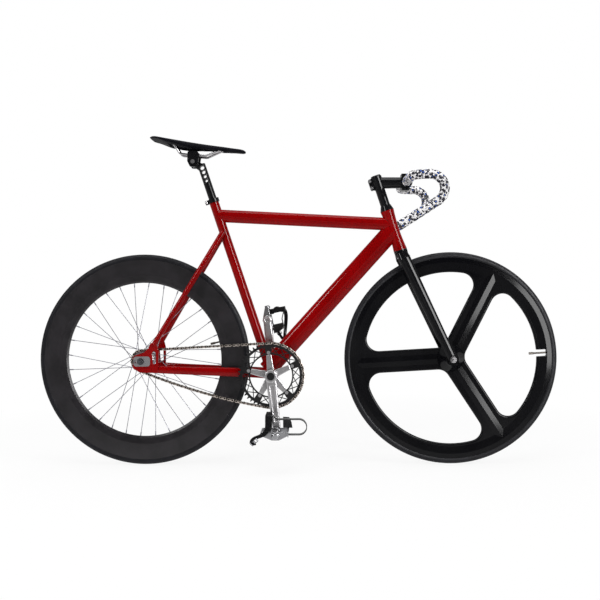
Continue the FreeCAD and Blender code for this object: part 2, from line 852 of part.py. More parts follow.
def tyre(centre):
    lip_inner = rim_width / 2 - rim_lip - seat_fit
    low = rim_edge_radius + seat_fit
    outside = []
    round_radius = tyre_width / 2
    first = math.acos((low - tyre_centre_radius) / round_radius)
    for step in range(tread_steps + 1):
        turn = first * (1 - 2 * step / tread_steps)
        outside.append((tyre_centre_radius + round_radius * math.cos(turn), round_radius * math.sin(turn)))
    foot = bead_radius + seat_fit
    inner_round = round_radius - casing
    inside = []
    for share in casing_shares:
        turn = casing_turn * share
        inside.append((tyre_centre_radius + inner_round * math.cos(turn), inner_round * math.sin(turn)))
    profile = outside + [(low, -lip_inner), (foot, -lip_inner), (foot, -lip_inner + bead_thickness)]
    profile += inside + [(foot, lip_inner - bead_thickness), (foot, lip_inner), (low, lip_inner)]
    return spun(profile, centre)


save("front_tyre", tyre(front_centre))
save("rear_tyre", tyre(rear_centre))

# Front wheel: one moulded piece with a deep rim, three broad blades and a hub

blade_turns = (63.0, 183.0, 303.0)
spoke_width = 69.0
rim_band = 40.0
window_outer_radius = bead_radius - rim_band
window_corner = 38.0
blade_edge_round = 5.5
blade_half = 8.0
blade_root_radius = 43.0
ridge_width = 40.0
ridge_height = 2.0
ridge_root = 0.5
track_radius = 302.0
track_taper = 1.0
rim_shoulder = 8.0
front_neck = 8.0
front_neck_radius = 24.0
front_end_radius = 20.0
front_bearing_radius = 11.0
front_bearing_width = 9.0
valve_turn_front = 3.0
valve_radius = 2.8
valve_show = 9.0
valve_foot = 2.0
valve_cap = 14.0
valve_cap_radius = 3.8
notch_half = 11.0
notch_floor = 8.0
notch_mouth = 20.0
notch_corner = 4.0
notch_top = bead_radius - notch_floor
half_rim = rim_width / 2


def front_window_blanks():
    blank = disc(front_centre, -half_rim - over, half_rim + over, window_outer_radius)
    blade_lengths = (window_outer_radius + well_past, spoke_width, well_past)
    for turn in blade_turns:
        along = polar(V(0, 0, 0), 1.0, turn)
        middle = front_centre + along * (window_outer_radius / 2)
        blank = blank.cut(along_box(middle, along, along.cross(ACROSS), blade_lengths))
    return [rounded(solid, window_corner) for solid in blank.Solids]


def wheel_side():
    """Half of the wheel's outline, (radius, y), from the rim's lip in to the bearing."""
    return [
        (bead_radius, half_rim - rim_lip), (rim_edge_radius, half_rim - rim_lip),
        (rim_edge_radius, half_rim - track_taper), (track_radius, half_rim),
        (window_outer_radius + rim_shoulder, blade_half), (blade_root_radius, blade_half),
        (front_neck_radius, front_hub_half - front_neck), (front_end_radius, front_hub_half),
        (front_bearing_radius, front_hub_half),
    ]


def blade_ridges():
    """A low roof along the middle of each blade, on both sides, that runs out in the hub and the rim."""
    ridges = []
    for turn in blade_turns:
        along = polar(V(0, 0, 0), 1.0, turn)
        side = along.cross(ACROSS) * (ridge_width / 2)
        start = front_centre + along * front_neck_radius
        foot = ACROSS * (blade_half - ridge_root)
        crest = ACROSS * (blade_half + ridge_height)
        section = polygon([start + foot + side, start + crest, start + foot - side])
        ridge = section.extrude(along * (track_radius - front_neck_radius))
        ridges += [ridge, mirror(ridge)]
    return ridges


def front_wheel():
    left_side = wheel_side()
    wheel = spun(left_side + [(r, -y) for r, y in reversed(left_side)], front_centre)
    for blank in front_window_blanks():
        wheel = wheel.cut(blank)
    edges = []
    for edge in wheel.Edges:
        box = edge.BoundBox
        flat = abs(box.YMin - box.YMax) < 1e-6 and abs(abs(box.YMin) - blade_half) < 1e-6
        middle = edge.valueAt((edge.FirstParameter + edge.LastParameter) / 2)
        out = V(middle.x - front_centre.x, 0, middle.z - front_centre.z).Length
        if flat and blade_root_radius + clear < out < window_outer_radius + clear:
            edges.append(edge)
    wheel = wheel.makeFillet(blade_edge_round, edges).fuse(blade_ridges())
    along = polar(V(0, 0, 0), 1.0, valve_turn_front)
    side = along.cross(ACROSS)
    notch_depth = notch_top - window_outer_radius + notch_mouth
    notch_middle = front_centre + along * (notch_top - notch_depth / 2)
    notch = along_box(notch_middle, along, side, (notch_depth, 2 * notch_half, well_past))
    wheel = wheel.cut(rounded(notch, notch_corner))
    hole_from = front_centre + along * window_outer_radius
    hole = rod(hole_from, front_centre + along * tyre_radius, valve_radius + seat_fit)
    return largest(wheel.cut(hole))


def valve(centre, degrees, inner):
    along = polar(V(0, 0, 0), 1.0, degrees)
    stem = rod(centre + along * inner, centre + along * (bead_radius + valve_foot), valve_radius)
    cap = rod(centre + along * (inner - valve_cap), centre + along * inner, valve_cap_radius)
    return stem.fuse(cap)


save("tri_spoke_wheel", front_wheel())
save("front_valve", valve(front_centre, valve_turn_front, window_outer_radius - valve_show))
left_front_bearing = ring(
    front_centre, front_hub_half - front_bearing_width, front_hub_half,
    front_bearing_radius - seat_fit, front_axle_radius + running_fit,
)
save("front_hub_bearings", mirror(left_front_bearing), left_front_bearing)

# Rear wheel: a deep hollow rim, crossed wire spokes and a hub that carries the fixed cog

rim_inner_radius = 244.0
rim_shoulder_radius = 268.0
shoulder_half = half_rim - 2.0
spine_rise = 6.0
spine_half = 5.0
spine_flat = 1.5
spine_wall = 4.0
flange_radius = 33.0
flange_hole_radius = 29.0
flange_place = 28.5
flange_thickness = 3.0
hub_waist_radius = 15.0
hub_tunnel_radius = 9.0
hub_bearing_depth = 10.0
hub_bearing_width = 9.5
flange_foot = 4.0
flange_rim = 6.0
cog_seat_radius = 17.5
spoke_count = 32
spoke_radius = 1.0
spoke_cross = 62.0
nipple_length = 12.0
nipple_flats = 3.6
outer_spoke_lift = 1.3
valve_turn_rear = 13.0
valve_rear_show = 14.0


def rear_rim():
    lip = half_rim - rim_lip
    outside = [
        (rim_edge_radius, half_rim), (rim_edge_radius, lip), (bead_radius, lip), (bead_radius, -lip),
        (rim_edge_radius, -lip), (rim_edge_radius, -half_rim), (rim_shoulder_radius, -shoulder_half),
        (rim_inner_radius + spine_rise, -spine_half), (rim_inner_radius, -spine_flat),
        (rim_inner_radius, spine_flat), (rim_inner_radius + spine_rise, spine_half),
        (rim_shoulder_radius, shoulder_half),
    ]
    floor = bead_radius - rim_wall
    spine_inside = rim_inner_radius + spine_wall
    inside = [
        (floor, half_rim - rim_wall), (floor, -half_rim + rim_wall),
        (rim_shoulder_radius, rim_wall - shoulder_half), (spine_inside + rim_wall, rim_wall - spine_half),
        (spine_inside, 0), (spine_inside + rim_wall, spine_half - rim_wall),
        (rim_shoulder_radius, shoulder_half - rim_wall),
    ]
    along = polar(V(0, 0, 0), 1.0, valve_turn_rear)
    start = rear_centre + along * (rim_inner_radius - over)
    hole = rod(start, rear_centre + along * (rim_edge_radius + over), valve_radius + seat_fit)
    return largest(spun(outside, rear_centre).cut(spun(inside, rear_centre)).cut(hole))


def rear_hub():
    near = flange_place - flange_thickness / 2
    far = flange_place + flange_thickness / 2
    left_side = [
        (hub_waist_radius, near - flange_foot), (flange_radius - flange_rim, near),
        (flange_radius, near), (flange_radius, far),
        (cog_seat_radius, far), (cog_seat_radius, rear_hub_half), (hub_bearing_radius, rear_hub_half),
        (hub_bearing_radius, rear_hub_half - hub_bearing_depth),
        (hub_tunnel_radius, rear_hub_half - hub_bearing_depth),
    ]
    right_side = [(r, -y) for r, y in reversed(left_side)]
    return spun(left_side + right_side, rear_centre)


def spokes():
    """Spokes and nipples, alternating between the flanges and between leaning on and leaning back."""
    made = []
    for place in range(spoke_count):
        rim_turn = 360.0 / spoke_count * (place + 0.5) + valve_turn_rear
        side = 1 if place % 2 else -1
        lead = 1 if (place // 2) % 2 else -1
        lift = outer_spoke_lift if lead > 0 else running_fit
        face = flange_place + lead * (flange_thickness / 2 + spoke_radius + lift)
        start = polar(rear_centre, flange_hole_radius, rim_turn + lead * spoke_cross, side * face)
        end = polar(rear_centre, rim_inner_radius - clear, rim_turn, side * spoke_radius)
        along = end - start
        along.normalize()
        neck = end - along * nipple_length
        made.append(hexagon(start, neck, 2 * spoke_radius))
        made.append(hexagon(neck, end, nipple_flats))
    return made


left_hub_bearing = ring(
    rear_centre, rear_hub_half - hub_bearing_width, rear_hub_half,
    hub_bearing_radius - seat_fit, axle_radius + running_fit,
)
save("rear_rim", rear_rim())
save("rear_hub", rear_hub())
save("rear_spokes", *spokes())
save("rear_hub_bearings", mirror(left_hub_bearing), left_hub_bearing)
save("rear_valve", valve(rear_centre, valve_turn_rear, rim_inner_radius - valve_rear_show))

# Sprockets: straight flanked teeth whose gaps hold the chain's rollers

tooth_tip = 3.6
tooth_root = 4.2
root_half = 2.8
tip_half = 0.95
cog_boss_length = 5.0
cog_boss_wall = 4.0
lockring_thickness = 3.5
chain_along = rear_centre - bracket
chain_along.normalize()
chain_up = V(chain_along.z, 0, -chain_along.x)
chain_lean = math.degrees(math.atan2(chain_along.z, chain_along.x))
ring_back = -chain_line + ring_thickness / 2
ring_front = -chain_line - ring_thickness / 2


def sprocket_outline(centre, teeth, first_tooth):
    """Outline points of a sprocket with one tooth at the angle first_tooth."""
    radius = sprocket_radius(teeth)
    half_step = chain_pitch / 2
    outline = []
    for tooth in range(teeth):
        turn = math.radians(first_tooth + 360.0 / teeth * tooth)
        out = V(math.cos(turn), 0, math.sin(turn))
        side = V(-math.sin(turn), 0, math.cos(turn))
        points = [
            (radius - tooth_root, -(half_step - root_half) * (1 - tooth_root / radius)),
            (radius + tooth_tip, -tip_half),
            (radius + tooth_tip, tip_half),
            (radius - tooth_root, (half_step - root_half) * (1 - tooth_root / radius)),
        ]
        for reach, aside in points:
            place = centre + out * reach + side * aside
            outline.append((place.x, place.z))
    return outline


cog_body = plate(sprocket_outline(rear_centre, cog_teeth, chain_lean), ring_front, ring_back)
cog_boss = disc(rear_centre, ring_front, ring_back + cog_boss_length, cog_seat_radius + cog_boss_wall)
cog_hole = disc(rear_centre, -rear_hub_half, 0, cog_seat_radius + seat_fit)
save("rear_cog", largest(cog_body.fuse(cog_boss).cut(cog_hole)))
lockring_face = ring_front - lockring_thickness
lockring_radius = cog_seat_radius + cog_boss_wall
lockring_bore = cog_seat_radius + seat_fit
save("cog_lockring", ring(rear_centre, lockring_face, ring_front, lockring_radius, lockring_bore))

# Crankset: spindle, right arm with its spider, lattice chainring, left arm

spider_arms = 5
spider_turn = crank_angle + 180.0 / spider_arms
spider_gap = 1.0
spider_reach = ring_inner_radius - spider_gap
spider_width = 15.0
spider_root_width = 25.0
spider_half = 5.0
spider_front = chain_line + spider_half
spider_back = chain_line - spider_half
tongue_end = 8.0
tongue_lap = 10.0
tongue_reach = bolt_circle_radius + tongue_end
crank_hub_gap = 1.0
crank_hub_inner = half_shell + cup_flange + crank_hub_gap
crank_hub_proud = 2.0
crank_hub_outer = crank_outer_face + crank_hub_proud
spindle_inset = 8.0
spindle_half = crank_outer_face - spindle_inset
crank_root_width = 33.0
crank_tip_width = 25.0
crank_edge_round = 4.0
crank_cap_radius = 11.5
crank_cap_height = 3.0
groove_inset = 29.0
groove_root_width = 13.0
groove_tip_width = 9.0
groove_corner = 3.5
groove_depth = 2.5
chain_bolt_radius = 4.0
pedal_axle_radius = 6.0
pedal_collar_radius = 8.0


def radial_plate(centre, degrees, reaches, widths, y_from, y_to):
    """A tapering plate that points out from centre at an angle."""
    along = polar(V(0, 0, 0), 1.0, degrees)
    side = along.cross(ACROSS)
    outline = []
    for reach, width, sign in zip(
        (reaches[0], reaches[1], reaches[1], reaches[0]),
        (widths[0], widths[1], widths[1], widths[0]),
        (1, 1, -1, -1),
    ):
        place = centre + along * reach + side * (sign * width / 2)
        outline.append((place.x, place.z))
    return plate(outline, y_from, y_to)


def crank(degrees, side):
    """An arm with its hub and pedal eye; side is -1 on the right of the bike and 1 on the left."""
    inner = side * crank_inner_face
    outer = side * crank_outer_face
    arm = radial_plate(bracket, degrees, (0, crank_length), (crank_root_width, crank_tip_width), inner, outer)
    long_edges = [edge for edge in arm.Edges if edge.Length > crank_length - over]
    arm = arm.makeFillet(crank_edge_round, long_edges)
    eye_place = polar(bracket, crank_length, degrees)
    eye = disc(eye_place, inner, outer, crank_eye_radius)
    hub = disc(bracket, side * crank_hub_inner, side * crank_hub_outer, crank_hub_radius)
    groove_from = side * (crank_outer_face - groove_depth)
    groove_to = side * (crank_outer_face + over)
    groove_reach = (groove_inset, crank_length - groove_inset)
    groove_widths = (groove_root_width, groove_tip_width)
    groove = radial_plate(bracket, degrees, groove_reach, groove_widths, groove_from, groove_to)
    return arm.fuse([eye, hub]).cut(rounded(groove, groove_corner))


def bored(body, degrees, side):
    eye_place = polar(bracket, crank_length, degrees)
    body = body.cut(disc(eye_place, 0, side * 2 * crank_outer_face, pedal_axle_radius + seat_fit))
    return largest(body.cut(disc(bracket, 0, side * spindle_half, spindle_radius + seat_fit)))


def right_crank():
    body = crank(crank_angle, -1)
    for arm in range(spider_arms):
        turn = spider_turn + 360.0 / spider_arms * arm
        main = radial_plate(
            bracket, turn, (0, spider_reach), (spider_root_width, spider_width), -spider_front, -spider_back
        )
        tongue = radial_plate(
            bracket, turn, (spider_reach - tongue_lap, tongue_reach), (spider_width, spider_width),
            -spider_back, ring_back,
        )
        body = body.fuse([main, tongue])
    body = bored(body, crank_angle, -1)
    for place in chain_bolt_places():
        body = body.cut(disc(place, -well_past, 0, chain_bolt_radius + seat_fit))
    return largest(body)


def chain_bolt_places():
    places = []
    for arm in range(spider_arms):
        places.append(polar(bracket, bolt_circle_radius, spider_turn + 360.0 / spider_arms * arm))
    return places


lattice_rim_inner = ring_radius - 12.0
lattice_hub_outer = ring_inner_radius + 4.5
lattice_bar = 2.6
lattice_lap = 1.5
crosses_per_gap = 3
tab_width = 23.0
tab_root_width = 18.0
chain_bolt_head = 2.0
chain_bolt_head_radius = 5.5


def chainring():
    """A toothed rim and an inner hoop, tied by solid tabs at the bolts and crossed bars between them."""
    toothed = plate(sprocket_outline(bracket, ring_teeth, chain_lean + 180.0), ring_front, ring_back)
    rim = toothed.cut(disc(bracket, -well_past, 0, lattice_rim_inner))
    hoop = ring(bracket, ring_front, ring_back, lattice_hub_outer, ring_inner_radius)
    pieces = [hoop]
    tab_half_angle = math.degrees(math.asin(tab_width / 2 / lattice_rim_inner))
    for arm in range(spider_arms):
        turn = spider_turn + 360.0 / spider_arms * arm
        tab_reach = (ring_inner_radius + lattice_lap, lattice_rim_inner + lattice_lap)
        tab_widths = (tab_root_width, tab_width)
        pieces.append(radial_plate(bracket, turn, tab_reach, tab_widths, ring_front, ring_back))
        gap = 360.0 / spider_arms - 2 * tab_half_angle
        cell = gap / crosses_per_gap
        for place in range(crosses_per_gap):
            left = turn + tab_half_angle + cell * place
            right = left + cell
            for low, high in ((left, right), (right, left)):
                pieces.append(lattice_strut(low, high))
    body = rim.fuse(pieces)
    for place in chain_bolt_places():
        body = body.cut(disc(place, -well_past, 0, chain_bolt_radius + seat_fit))
    return largest(body)


def lattice_strut(low, high):
    """One slanting bar of the lattice, from the inner hoop to the toothed rim."""
    start = polar(bracket, lattice_hub_outer - lattice_lap, low)
    end = polar(bracket, lattice_rim_inner + lattice_lap, high)
    along = end - start
    along.normalize()
    side = along.cross(ACROSS) * (lattice_bar / 2)
    corners = [start + side, end + side, end - side, start - side]
    return plate([(corner.x, corner.z) for corner in corners], ring_front, ring_back)


def chain_bolt(place):
    shank = disc(place, ring_front, -spider_back, chain_bolt_radius)
    head = disc(place, ring_front - chain_bolt_head, ring_front, chain_bolt_head_radius)
    nut = disc(place, -spider_back, -spider_back + chain_bolt_head, chain_bolt_head_radius)
    return shank.fuse([head, nut])


left_turn = crank_angle + 180.0
save("crank_spindle", disc(bracket, -spindle_half, spindle_half, spindle_radius))
save("right_crank_arm", right_crank())
save("left_crank_arm", bored(crank(left_turn, 1), left_turn, 1))
save("chainring", chainring())
save("chainring_bolts", *[chain_bolt(place) for place in chain_bolt_places()])
left_cap = disc(bracket, crank_hub_outer, crank_hub_outer + crank_cap_height, crank_cap_radius)
save("crank_caps", mirror(left_cap), left_cap)

# Chain: links of plates and rollers, wrapped on both sprockets


def chain_pins():
    """Pin centres all the way round, from the bottom of the chainring forwards and over the top."""
    pins = []
    for step in range(ring_wrap + 1):
        turn = -ring_last + 2 * math.pi / ring_teeth * step
        pins.append(bracket + (chain_up * math.sin(turn) - chain_along * math.cos(turn)) * ring_radius)
    cog_pins = []
    for step in range(cog_wrap + 1):
        turn = cog_last - 2 * math.pi / cog_teeth * step
        cog_pins.append(rear_centre + (chain_up * math.sin(turn) + chain_along * math.cos(turn)) * cog_radius)
    upper = run_between(pins[-1], cog_pins[0], 0.0)
    lower = run_between(cog_pins[-1], pins[0], chain_sag)
    return pins + upper + cog_pins + lower


def run_between(start, end, sag):
    """Pins of a free run, which hangs below the straight line by sag at its middle."""
    places = []
    for step in range(1, run_links):
        share = step / run_links
        places.append(start + (end - start) * share - UP * (4 * sag * share * (1 - share)))
    return places


def link_plate(start, end, y_from, y_to):
    along = end - start
    along.normalize()
    side = along.cross(ACROSS) * (plate_height / 2)
    nose = along * (plate_height / 2)
    shoulder = along * plate_shoulder
    corners = [
        start - nose, start - shoulder + side, end + shoulder + side,
        end + nose, end + shoulder - side, start - shoulder - side,
    ]
    return plate([(corner.x, corner.z) for corner in corners], y_from, y_to)


def link_pair(start, end, gap):
    near = -chain_line - gap / 2
    far = -chain_line + gap / 2
    return [
        link_plate(start, end, near - plate_thickness, near),
        link_plate(start, end, far, far + plate_thickness),
    ]


def roller(place):
    start = V(place.x, -chain_line - inner_gap / 2, place.z)
    return hexagon(start, start + ACROSS * inner_gap, roller_diameter * math.cos(math.pi / 6))


pins = chain_pins()
inner_links = [roller(pin) for pin in pins]
outer_links = []
for place, pin in enumerate(pins):
    following = pins[(place + 1) % len(pins)]
    if place % 2:
        outer_links += link_pair(pin, following, inner_gap + 2 * plate_thickness)
    else:
        inner_links += link_pair(pin, following, inner_gap)
save("chain_inner_links", *inner_links)
save("chain_outer_links", *outer_links)

# Pedals: drawn about their own axle pointing left, then set on the crank's end

pedal_gap = 5.0
pedal_length = 90.0
pedal_inner = crank_outer_face + pedal_gap
pedal_outer = pedal_inner + pedal_length
barrel_radius = 11.0
barrel_cap_radius = 9.0
barrel_cap = 6.0
cage_inner = pedal_inner + 5.0
cage_outer = pedal_outer - 4.0
cage_lip = 2.0
cage_sheet = 3.0
cage_front = 36.0
cage_rear = -45.0
cage_half = 12.0
clip_half_width = 11.0
clip_sheet = 2.5
clip_bend = 22.0
clip_straight = 70.0
clip_kink = 8.0
clip_tail = (-22.0, 58.0)
strap_sheet = 2.5
strap_inside = 2.0
strap_outside = 3.0
strap_from = -30.0
strap_to = -14.0
strap_top = clip_tail[1] + clip_sheet + seat_fit
strap_seat = cage_half + seat_fit
strap_bend = 12.0
buckle_thickness = 4.0
wing_foot = cage_half + seat_fit
wing_outline = [(20, wing_foot), (49, wing_foot), (46, 30), (39, 45), (20, 46)]
left_pedal_turn = 78.0

# The free ends hang down, so they leave the two straps in different directions.
right_tail = [
    (strap_from, 34), (strap_to, 30), (strap_to, 16), (-62, -24), (-76, -16), (-74, -2), (strap_from, 14),
]
right_buckle = [(-58, -2), (-50, -12), (-66, -28), (-78, -18)]
left_tail = [(strap_from, 32), (strap_to, 32), (62, 29), (62, 19), (strap_to, 17), (strap_from, 17)]
left_buckle = [(44, 33), (74, 31), (74, 15), (44, 14)]


def box(low, high):
    return Part.makeBox(high.x - low.x, high.y - low.y, high.z - low.z, low)


def pedal_cage():
    """Barrel on the axle between two end plates, with a front and a rear plate."""
    barrel = disc(V(0, 0, 0), pedal_inner, pedal_outer, barrel_radius)
    boat = [
        (cage_rear, cage_lip), (cage_rear, cage_half), (cage_front + cage_sheet, cage_half),
        (cage_front + cage_sheet, cage_lip), (barrel_radius, -cage_half), (-barrel_radius, -cage_half),
    ]
    ends = [
        plate(boat, cage_inner, cage_inner + cage_sheet),
        plate(boat, cage_outer - cage_sheet, cage_outer),
    ]
    rear = box(V(cage_rear, cage_inner, 0), V(cage_rear + cage_sheet, cage_outer, cage_half))
    front = box(V(cage_front, cage_inner, -clip_sheet), V(cage_front + cage_sheet, cage_outer, cage_half))
    cap = disc(V(0, 0, 0), pedal_outer, pedal_outer + barrel_cap, barrel_cap_radius)
    body = barrel.fuse(ends + [rear, front, cap])
    return largest(body.cut(disc(V(0, 0, 0), 0, pedal_outer, pedal_axle_radius + running_fit)))


def toe_clip():
    """A sprung band that runs forward from the cage, round the toe and back over it."""
    start = cage_front + cage_sheet
    hub = V(clip_straight, 0, clip_bend)
    outer = clip_bend + clip_sheet
    wire = Part.Wire([
        Part.makeLine(V(start, 0, -clip_sheet), V(clip_straight, 0, -clip_sheet)),
        Part.Arc(hub - UP * outer, hub + V(outer, 0, 0), hub + UP * outer).toShape(),
        Part.makeLine(hub + UP * outer, V(clip_kink, 0, hub.z + outer)),
        Part.makeLine(V(clip_kink, 0, hub.z + outer), V(clip_tail[0], 0, clip_tail[1] + clip_sheet)),
        Part.makeLine(V(clip_tail[0], 0, clip_tail[1] + clip_sheet), V(clip_tail[0], 0, clip_tail[1])),
        Part.makeLine(V(clip_tail[0], 0, clip_tail[1]), V(clip_kink, 0, hub.z + clip_bend)),
        Part.makeLine(V(clip_kink, 0, hub.z + clip_bend), hub + UP * clip_bend),
        Part.Arc(hub + UP * clip_bend, hub + V(clip_bend, 0, 0), hub - UP * clip_bend).toShape(),
        Part.makeLine(hub - UP * clip_bend, V(start, 0, 0)),
        Part.makeLine(V(start, 0, 0), V(start, 0, -clip_sheet)),
    ])
    band = Part.Face(wire).extrude(ACROSS * (2 * clip_half_width))
    band.translate(ACROSS * ((cage_inner + cage_outer) / 2 - clip_half_width))
    return Part.makeCompound([band, plate(wing_outline, cage_inner, cage_inner + clip_sheet)])


def toe_strap(tail_outline, buckle_outline):
    """A loop of strap over the cage and the clip's tail, with its free end through the buckle."""
    low = V(strap_from, cage_inner - strap_inside, strap_seat)
    high = V(strap_to, cage_outer + strap_outside, strap_top + strap_sheet)
    sheet = V(-over, strap_sheet, strap_sheet)
    loop = rounded_bar(box(low, high), strap_bend)
    loop = loop.cut(rounded_bar(box(low + sheet, high - sheet), strap_bend - strap_sheet))
    tail = plate(tail_outline, high.y, high.y + strap_sheet)
    buckle = plate(buckle_outline, high.y + strap_sheet, high.y + strap_sheet + buckle_thickness)
    return largest(loop.fuse([tail, buckle]))


def rounded_bar(bar, radius):
    """Round the four edges that run forward along a box."""
    length = bar.BoundBox.XLength
    return bar.makeFillet(radius, [edge for edge in bar.Edges if abs(edge.BoundBox.XLength - length) < 1e-6])


def set_pedal(piece, side):
    """Put a pedal piece on its crank: upright on the right, hanging toe down on the left."""
    made = piece.copy() if side > 0 else mirror(piece)
    degrees = crank_angle if side < 0 else left_turn
    if side > 0:
        made.rotate(V(0, 0, 0), ACROSS, left_pedal_turn)
    made.translate(polar(bracket, crank_length, degrees))
    return made


cage_piece = pedal_cage()
clip_piece = toe_clip()
right_strap = toe_strap(right_tail, right_buckle)
left_strap = toe_strap(left_tail, left_buckle)
pedal_axle = disc(V(0, 0, 0), crank_inner_face, pedal_outer - clear, pedal_axle_radius)
pedal_collar = disc(V(0, 0, 0), crank_outer_face, pedal_inner - clear, pedal_collar_radius)
axle_piece = pedal_axle.fuse(pedal_collar)
for side, name, strap in ((-1, "right", right_strap), (1, "left", left_strap)):
    save(name + "_pedal", set_pedal(cage_piece, side))
    save(name + "_toe_clip", set_pedal(clip_piece, side))
    save(name + "_toe_strap", set_pedal(strap, side))
save("pedal_axles", set_pedal(axle_piece, -1), set_pedal(axle_piece, 1))

# Seat post: a round post with a drilled neck and a cross head for the saddle clamp

head_pivot_back = 20.0
post_top_rise = 124.0
head_pivot_rise = 136.0
head_cross_radius = 15.0
head_cross_half = 16.0
neck_drop = 14.0
neck_height = 24.0
neck_width = 21.4
post_wall = 2.5
post_bore_depth = post_insertion + 40.0
neck_holes = 4
first_hole_rise = 68.0
hole_step = 14.3
first_hole_radius = 4.6
hole_growth = 0.7
clamp_bolt_radius = 4.0
jaw_thickness = 10.0
rail_place = rail_spread / 2
post_foot = seat_top - seat_up * post_insertion
post_head = seat_top + seat_up * post_top_rise
pivot = seat_top + seat_up * head_pivot_rise + seat_back * head_pivot_back


def seat_post():
    post = rod(post_foot, post_head, post_diameter / 2)
    neck_foot = seat_top + seat_up * (post_top_rise - neck_drop)
    neck = oval_bar(neck_foot, pivot, [neck_height] * 2, [neck_width] * 2)
    cross = disc(pivot, -head_cross_half, head_cross_half, head_cross_radius)
    body = post.fuse([neck, cross])
    for place in range(neck_holes):
        middle = seat_top + seat_up * (first_hole_rise + hole_step * place)
        hole = disc(middle, -post_diameter, post_diameter, first_hole_radius + hole_growth * place)
        body = body.cut(hole)
    body = body.cut(rod(post_foot, post_foot + seat_up * post_bore_depth, post_diameter / 2 - post_wall))
    return largest(body.cut(disc(pivot, -well_past, well_past, clamp_bolt_radius + running_fit)))


save("seat_post", seat_post())

# Saddle clamp: a jaw each side of the cross head, gripping a rail, on one cross bolt

rail_tilt = -5.0
rail_along = polar(V(0, 0, 0), 1.0, rail_tilt)
rail_up = V(-rail_along.z, 0, rail_along.x)
rail_rise = 21.0
jaw_offset = 1.0
jaw_corner = 3.0
clamp_head = 4.0
clamp_head_radius = 6.5
rail_middle = pivot + rail_along * jaw_offset + rail_up * rail_rise
jaw_length = 37.0
jaw_top = 33.0
jaw_bottom = -16.0


def jaw():
    inner = head_cross_half + clear
    outline = []
    for along, up in (
        (-jaw_length / 2, jaw_top - 4), (-jaw_length / 2 + 5, jaw_top), (jaw_length / 2 - 6, jaw_top),
        (jaw_length / 2, jaw_top - 8), (jaw_length / 2 - 2, 0), (4, jaw_bottom), (-8, jaw_bottom),
        (-jaw_length / 2 + 1, 0),
    ):
        place = pivot + rail_along * along + rail_up * up
        outline.append((place.x, place.z))
    body = rounded(plate(outline, inner, inner + jaw_thickness), jaw_corner)
    rail_line = rail_middle + ACROSS * rail_place
    reach = rail_along * well_past
    body = body.cut(rod(rail_line - reach, rail_line + reach, rail_radius + running_fit))
    return largest(body.cut(disc(pivot, 0, well_past, clamp_bolt_radius + seat_fit)))


left_jaw = jaw()
jaw_outer = head_cross_half + clear + jaw_thickness
clamp_bolt = disc(pivot, -jaw_outer, jaw_outer, clamp_bolt_radius)
left_head = disc(pivot, jaw_outer, jaw_outer + clamp_head, clamp_head_radius)
save("saddle_clamp_jaws", mirror(left_jaw), left_jaw)
save("saddle_clamp_bolt", clamp_bolt.fuse([left_head, mirror(left_head)]))

# Saddle: a crowned padded shell, hollow beneath, on two bent rails

saddle_nose_ahead = 163.6
saddle_nose_rise = 36.4
saddle_nose = pivot + V(saddle_nose_ahead, 0, saddle_nose_rise)
saddle_skin = 8.0
saddle_tuck = 0.55
side_drop = 0.48
shoulder_share = 0.72
shoulder_drop = 0.18
hollow_share = 0.72
hollow_least = 2.0
rail_behind = 43.0
rail_ahead = 38.0
rail_corner = 14.0
rail_tail = V(-26.0, 13.0, 44.0)
rail_nose = V(76.0, -15.0, 30.0)

# Shares of the saddle's length, of its half width, of its depth and how far its top dips, nose to tail
saddle_stations = [
    (0.0, 0.05, 0.12, 0.25), (0.015, 0.13, 0.36, 0.1), (0.06, 0.2, 0.5, 0.0), (0.167, 0.25, 0.63, 0.0),
    (0.33, 0.31, 0.73, 0.0), (0.49, 0.44, 0.9, 0.0), (0.64, 0.72, 1.0, 0.0), (0.745, 0.92, 0.88, 0.0),
    (0.82, 1.0, 0.75, 0.0), (0.885, 0.98, 0.5, 0.0), (0.95, 0.82, 0.27, 0.02), (1.0, 0.45, 0.14, 0.1),
]


def saddle_section(back, half_width, depth, top_drop):
    """A crowned section: rounded sides that tuck in below, an arched top and a flat foot."""
    x = saddle_nose.x - back
    top = saddle_nose.z + back * math.tan(math.radians(saddle_slope)) - top_drop
    low = (half_width * saddle_tuck, top - depth)
    side = (half_width, top - depth * side_drop)
    shoulder = (half_width * shoulder_share, top - depth * shoulder_drop)
    points = [V(x, y, z) for y, z in (low, side, shoulder)] + [V(x, 0, top)]
    points += [V(x, -y, z) for y, z in (shoulder, side, low)]
    crown_line = Part.BSplineCurve()
    crown_line.interpolate(points)
    return Part.Wire([crown_line.toShape(), Part.makeLine(points[-1], points[0])])


def saddle_shell():
    outside = []
    hollow = []
    for length_share, width_share, depth_share, dip in saddle_stations:
        back = saddle_length * length_share
        half_width = saddle_half_width * width_share
        depth = saddle_depth * depth_share
        outside.append(saddle_section(back, half_width, depth, dip * saddle_depth))
        if depth > saddle_skin + hollow_least:
            hollow_depth = depth - saddle_skin + over
            hollow.append(saddle_section(back, half_width * hollow_share, hollow_depth, saddle_skin))
    return largest(Part.makeLoft(outside, True, False).cut(Part.makeLoft(hollow, True, False)))


def bent(points, bend):
    """Edges through corner points, with each corner rounded."""
    edges = []
    start = points[0]
    for before, corner, after in zip(points, points[1:], points[2:]):
        inward = before - corner
        inward.normalize()
        onward = after - corner
        onward.normalize()
        half_angle = inward.getAngle(onward) / 2
        setback = bend / math.tan(half_angle)
        middle = inward + onward
        middle.normalize()
        first = corner + inward * setback
        last = corner + onward * setback
        crest = corner + middle * (bend / math.sin(half_angle) - bend)
        edges.append(Part.makeLine(start, first))
        edges.append(Part.Arc(first, crest, last).toShape())
        start = last
    edges.append(Part.makeLine(start, points[-1]))
    return edges


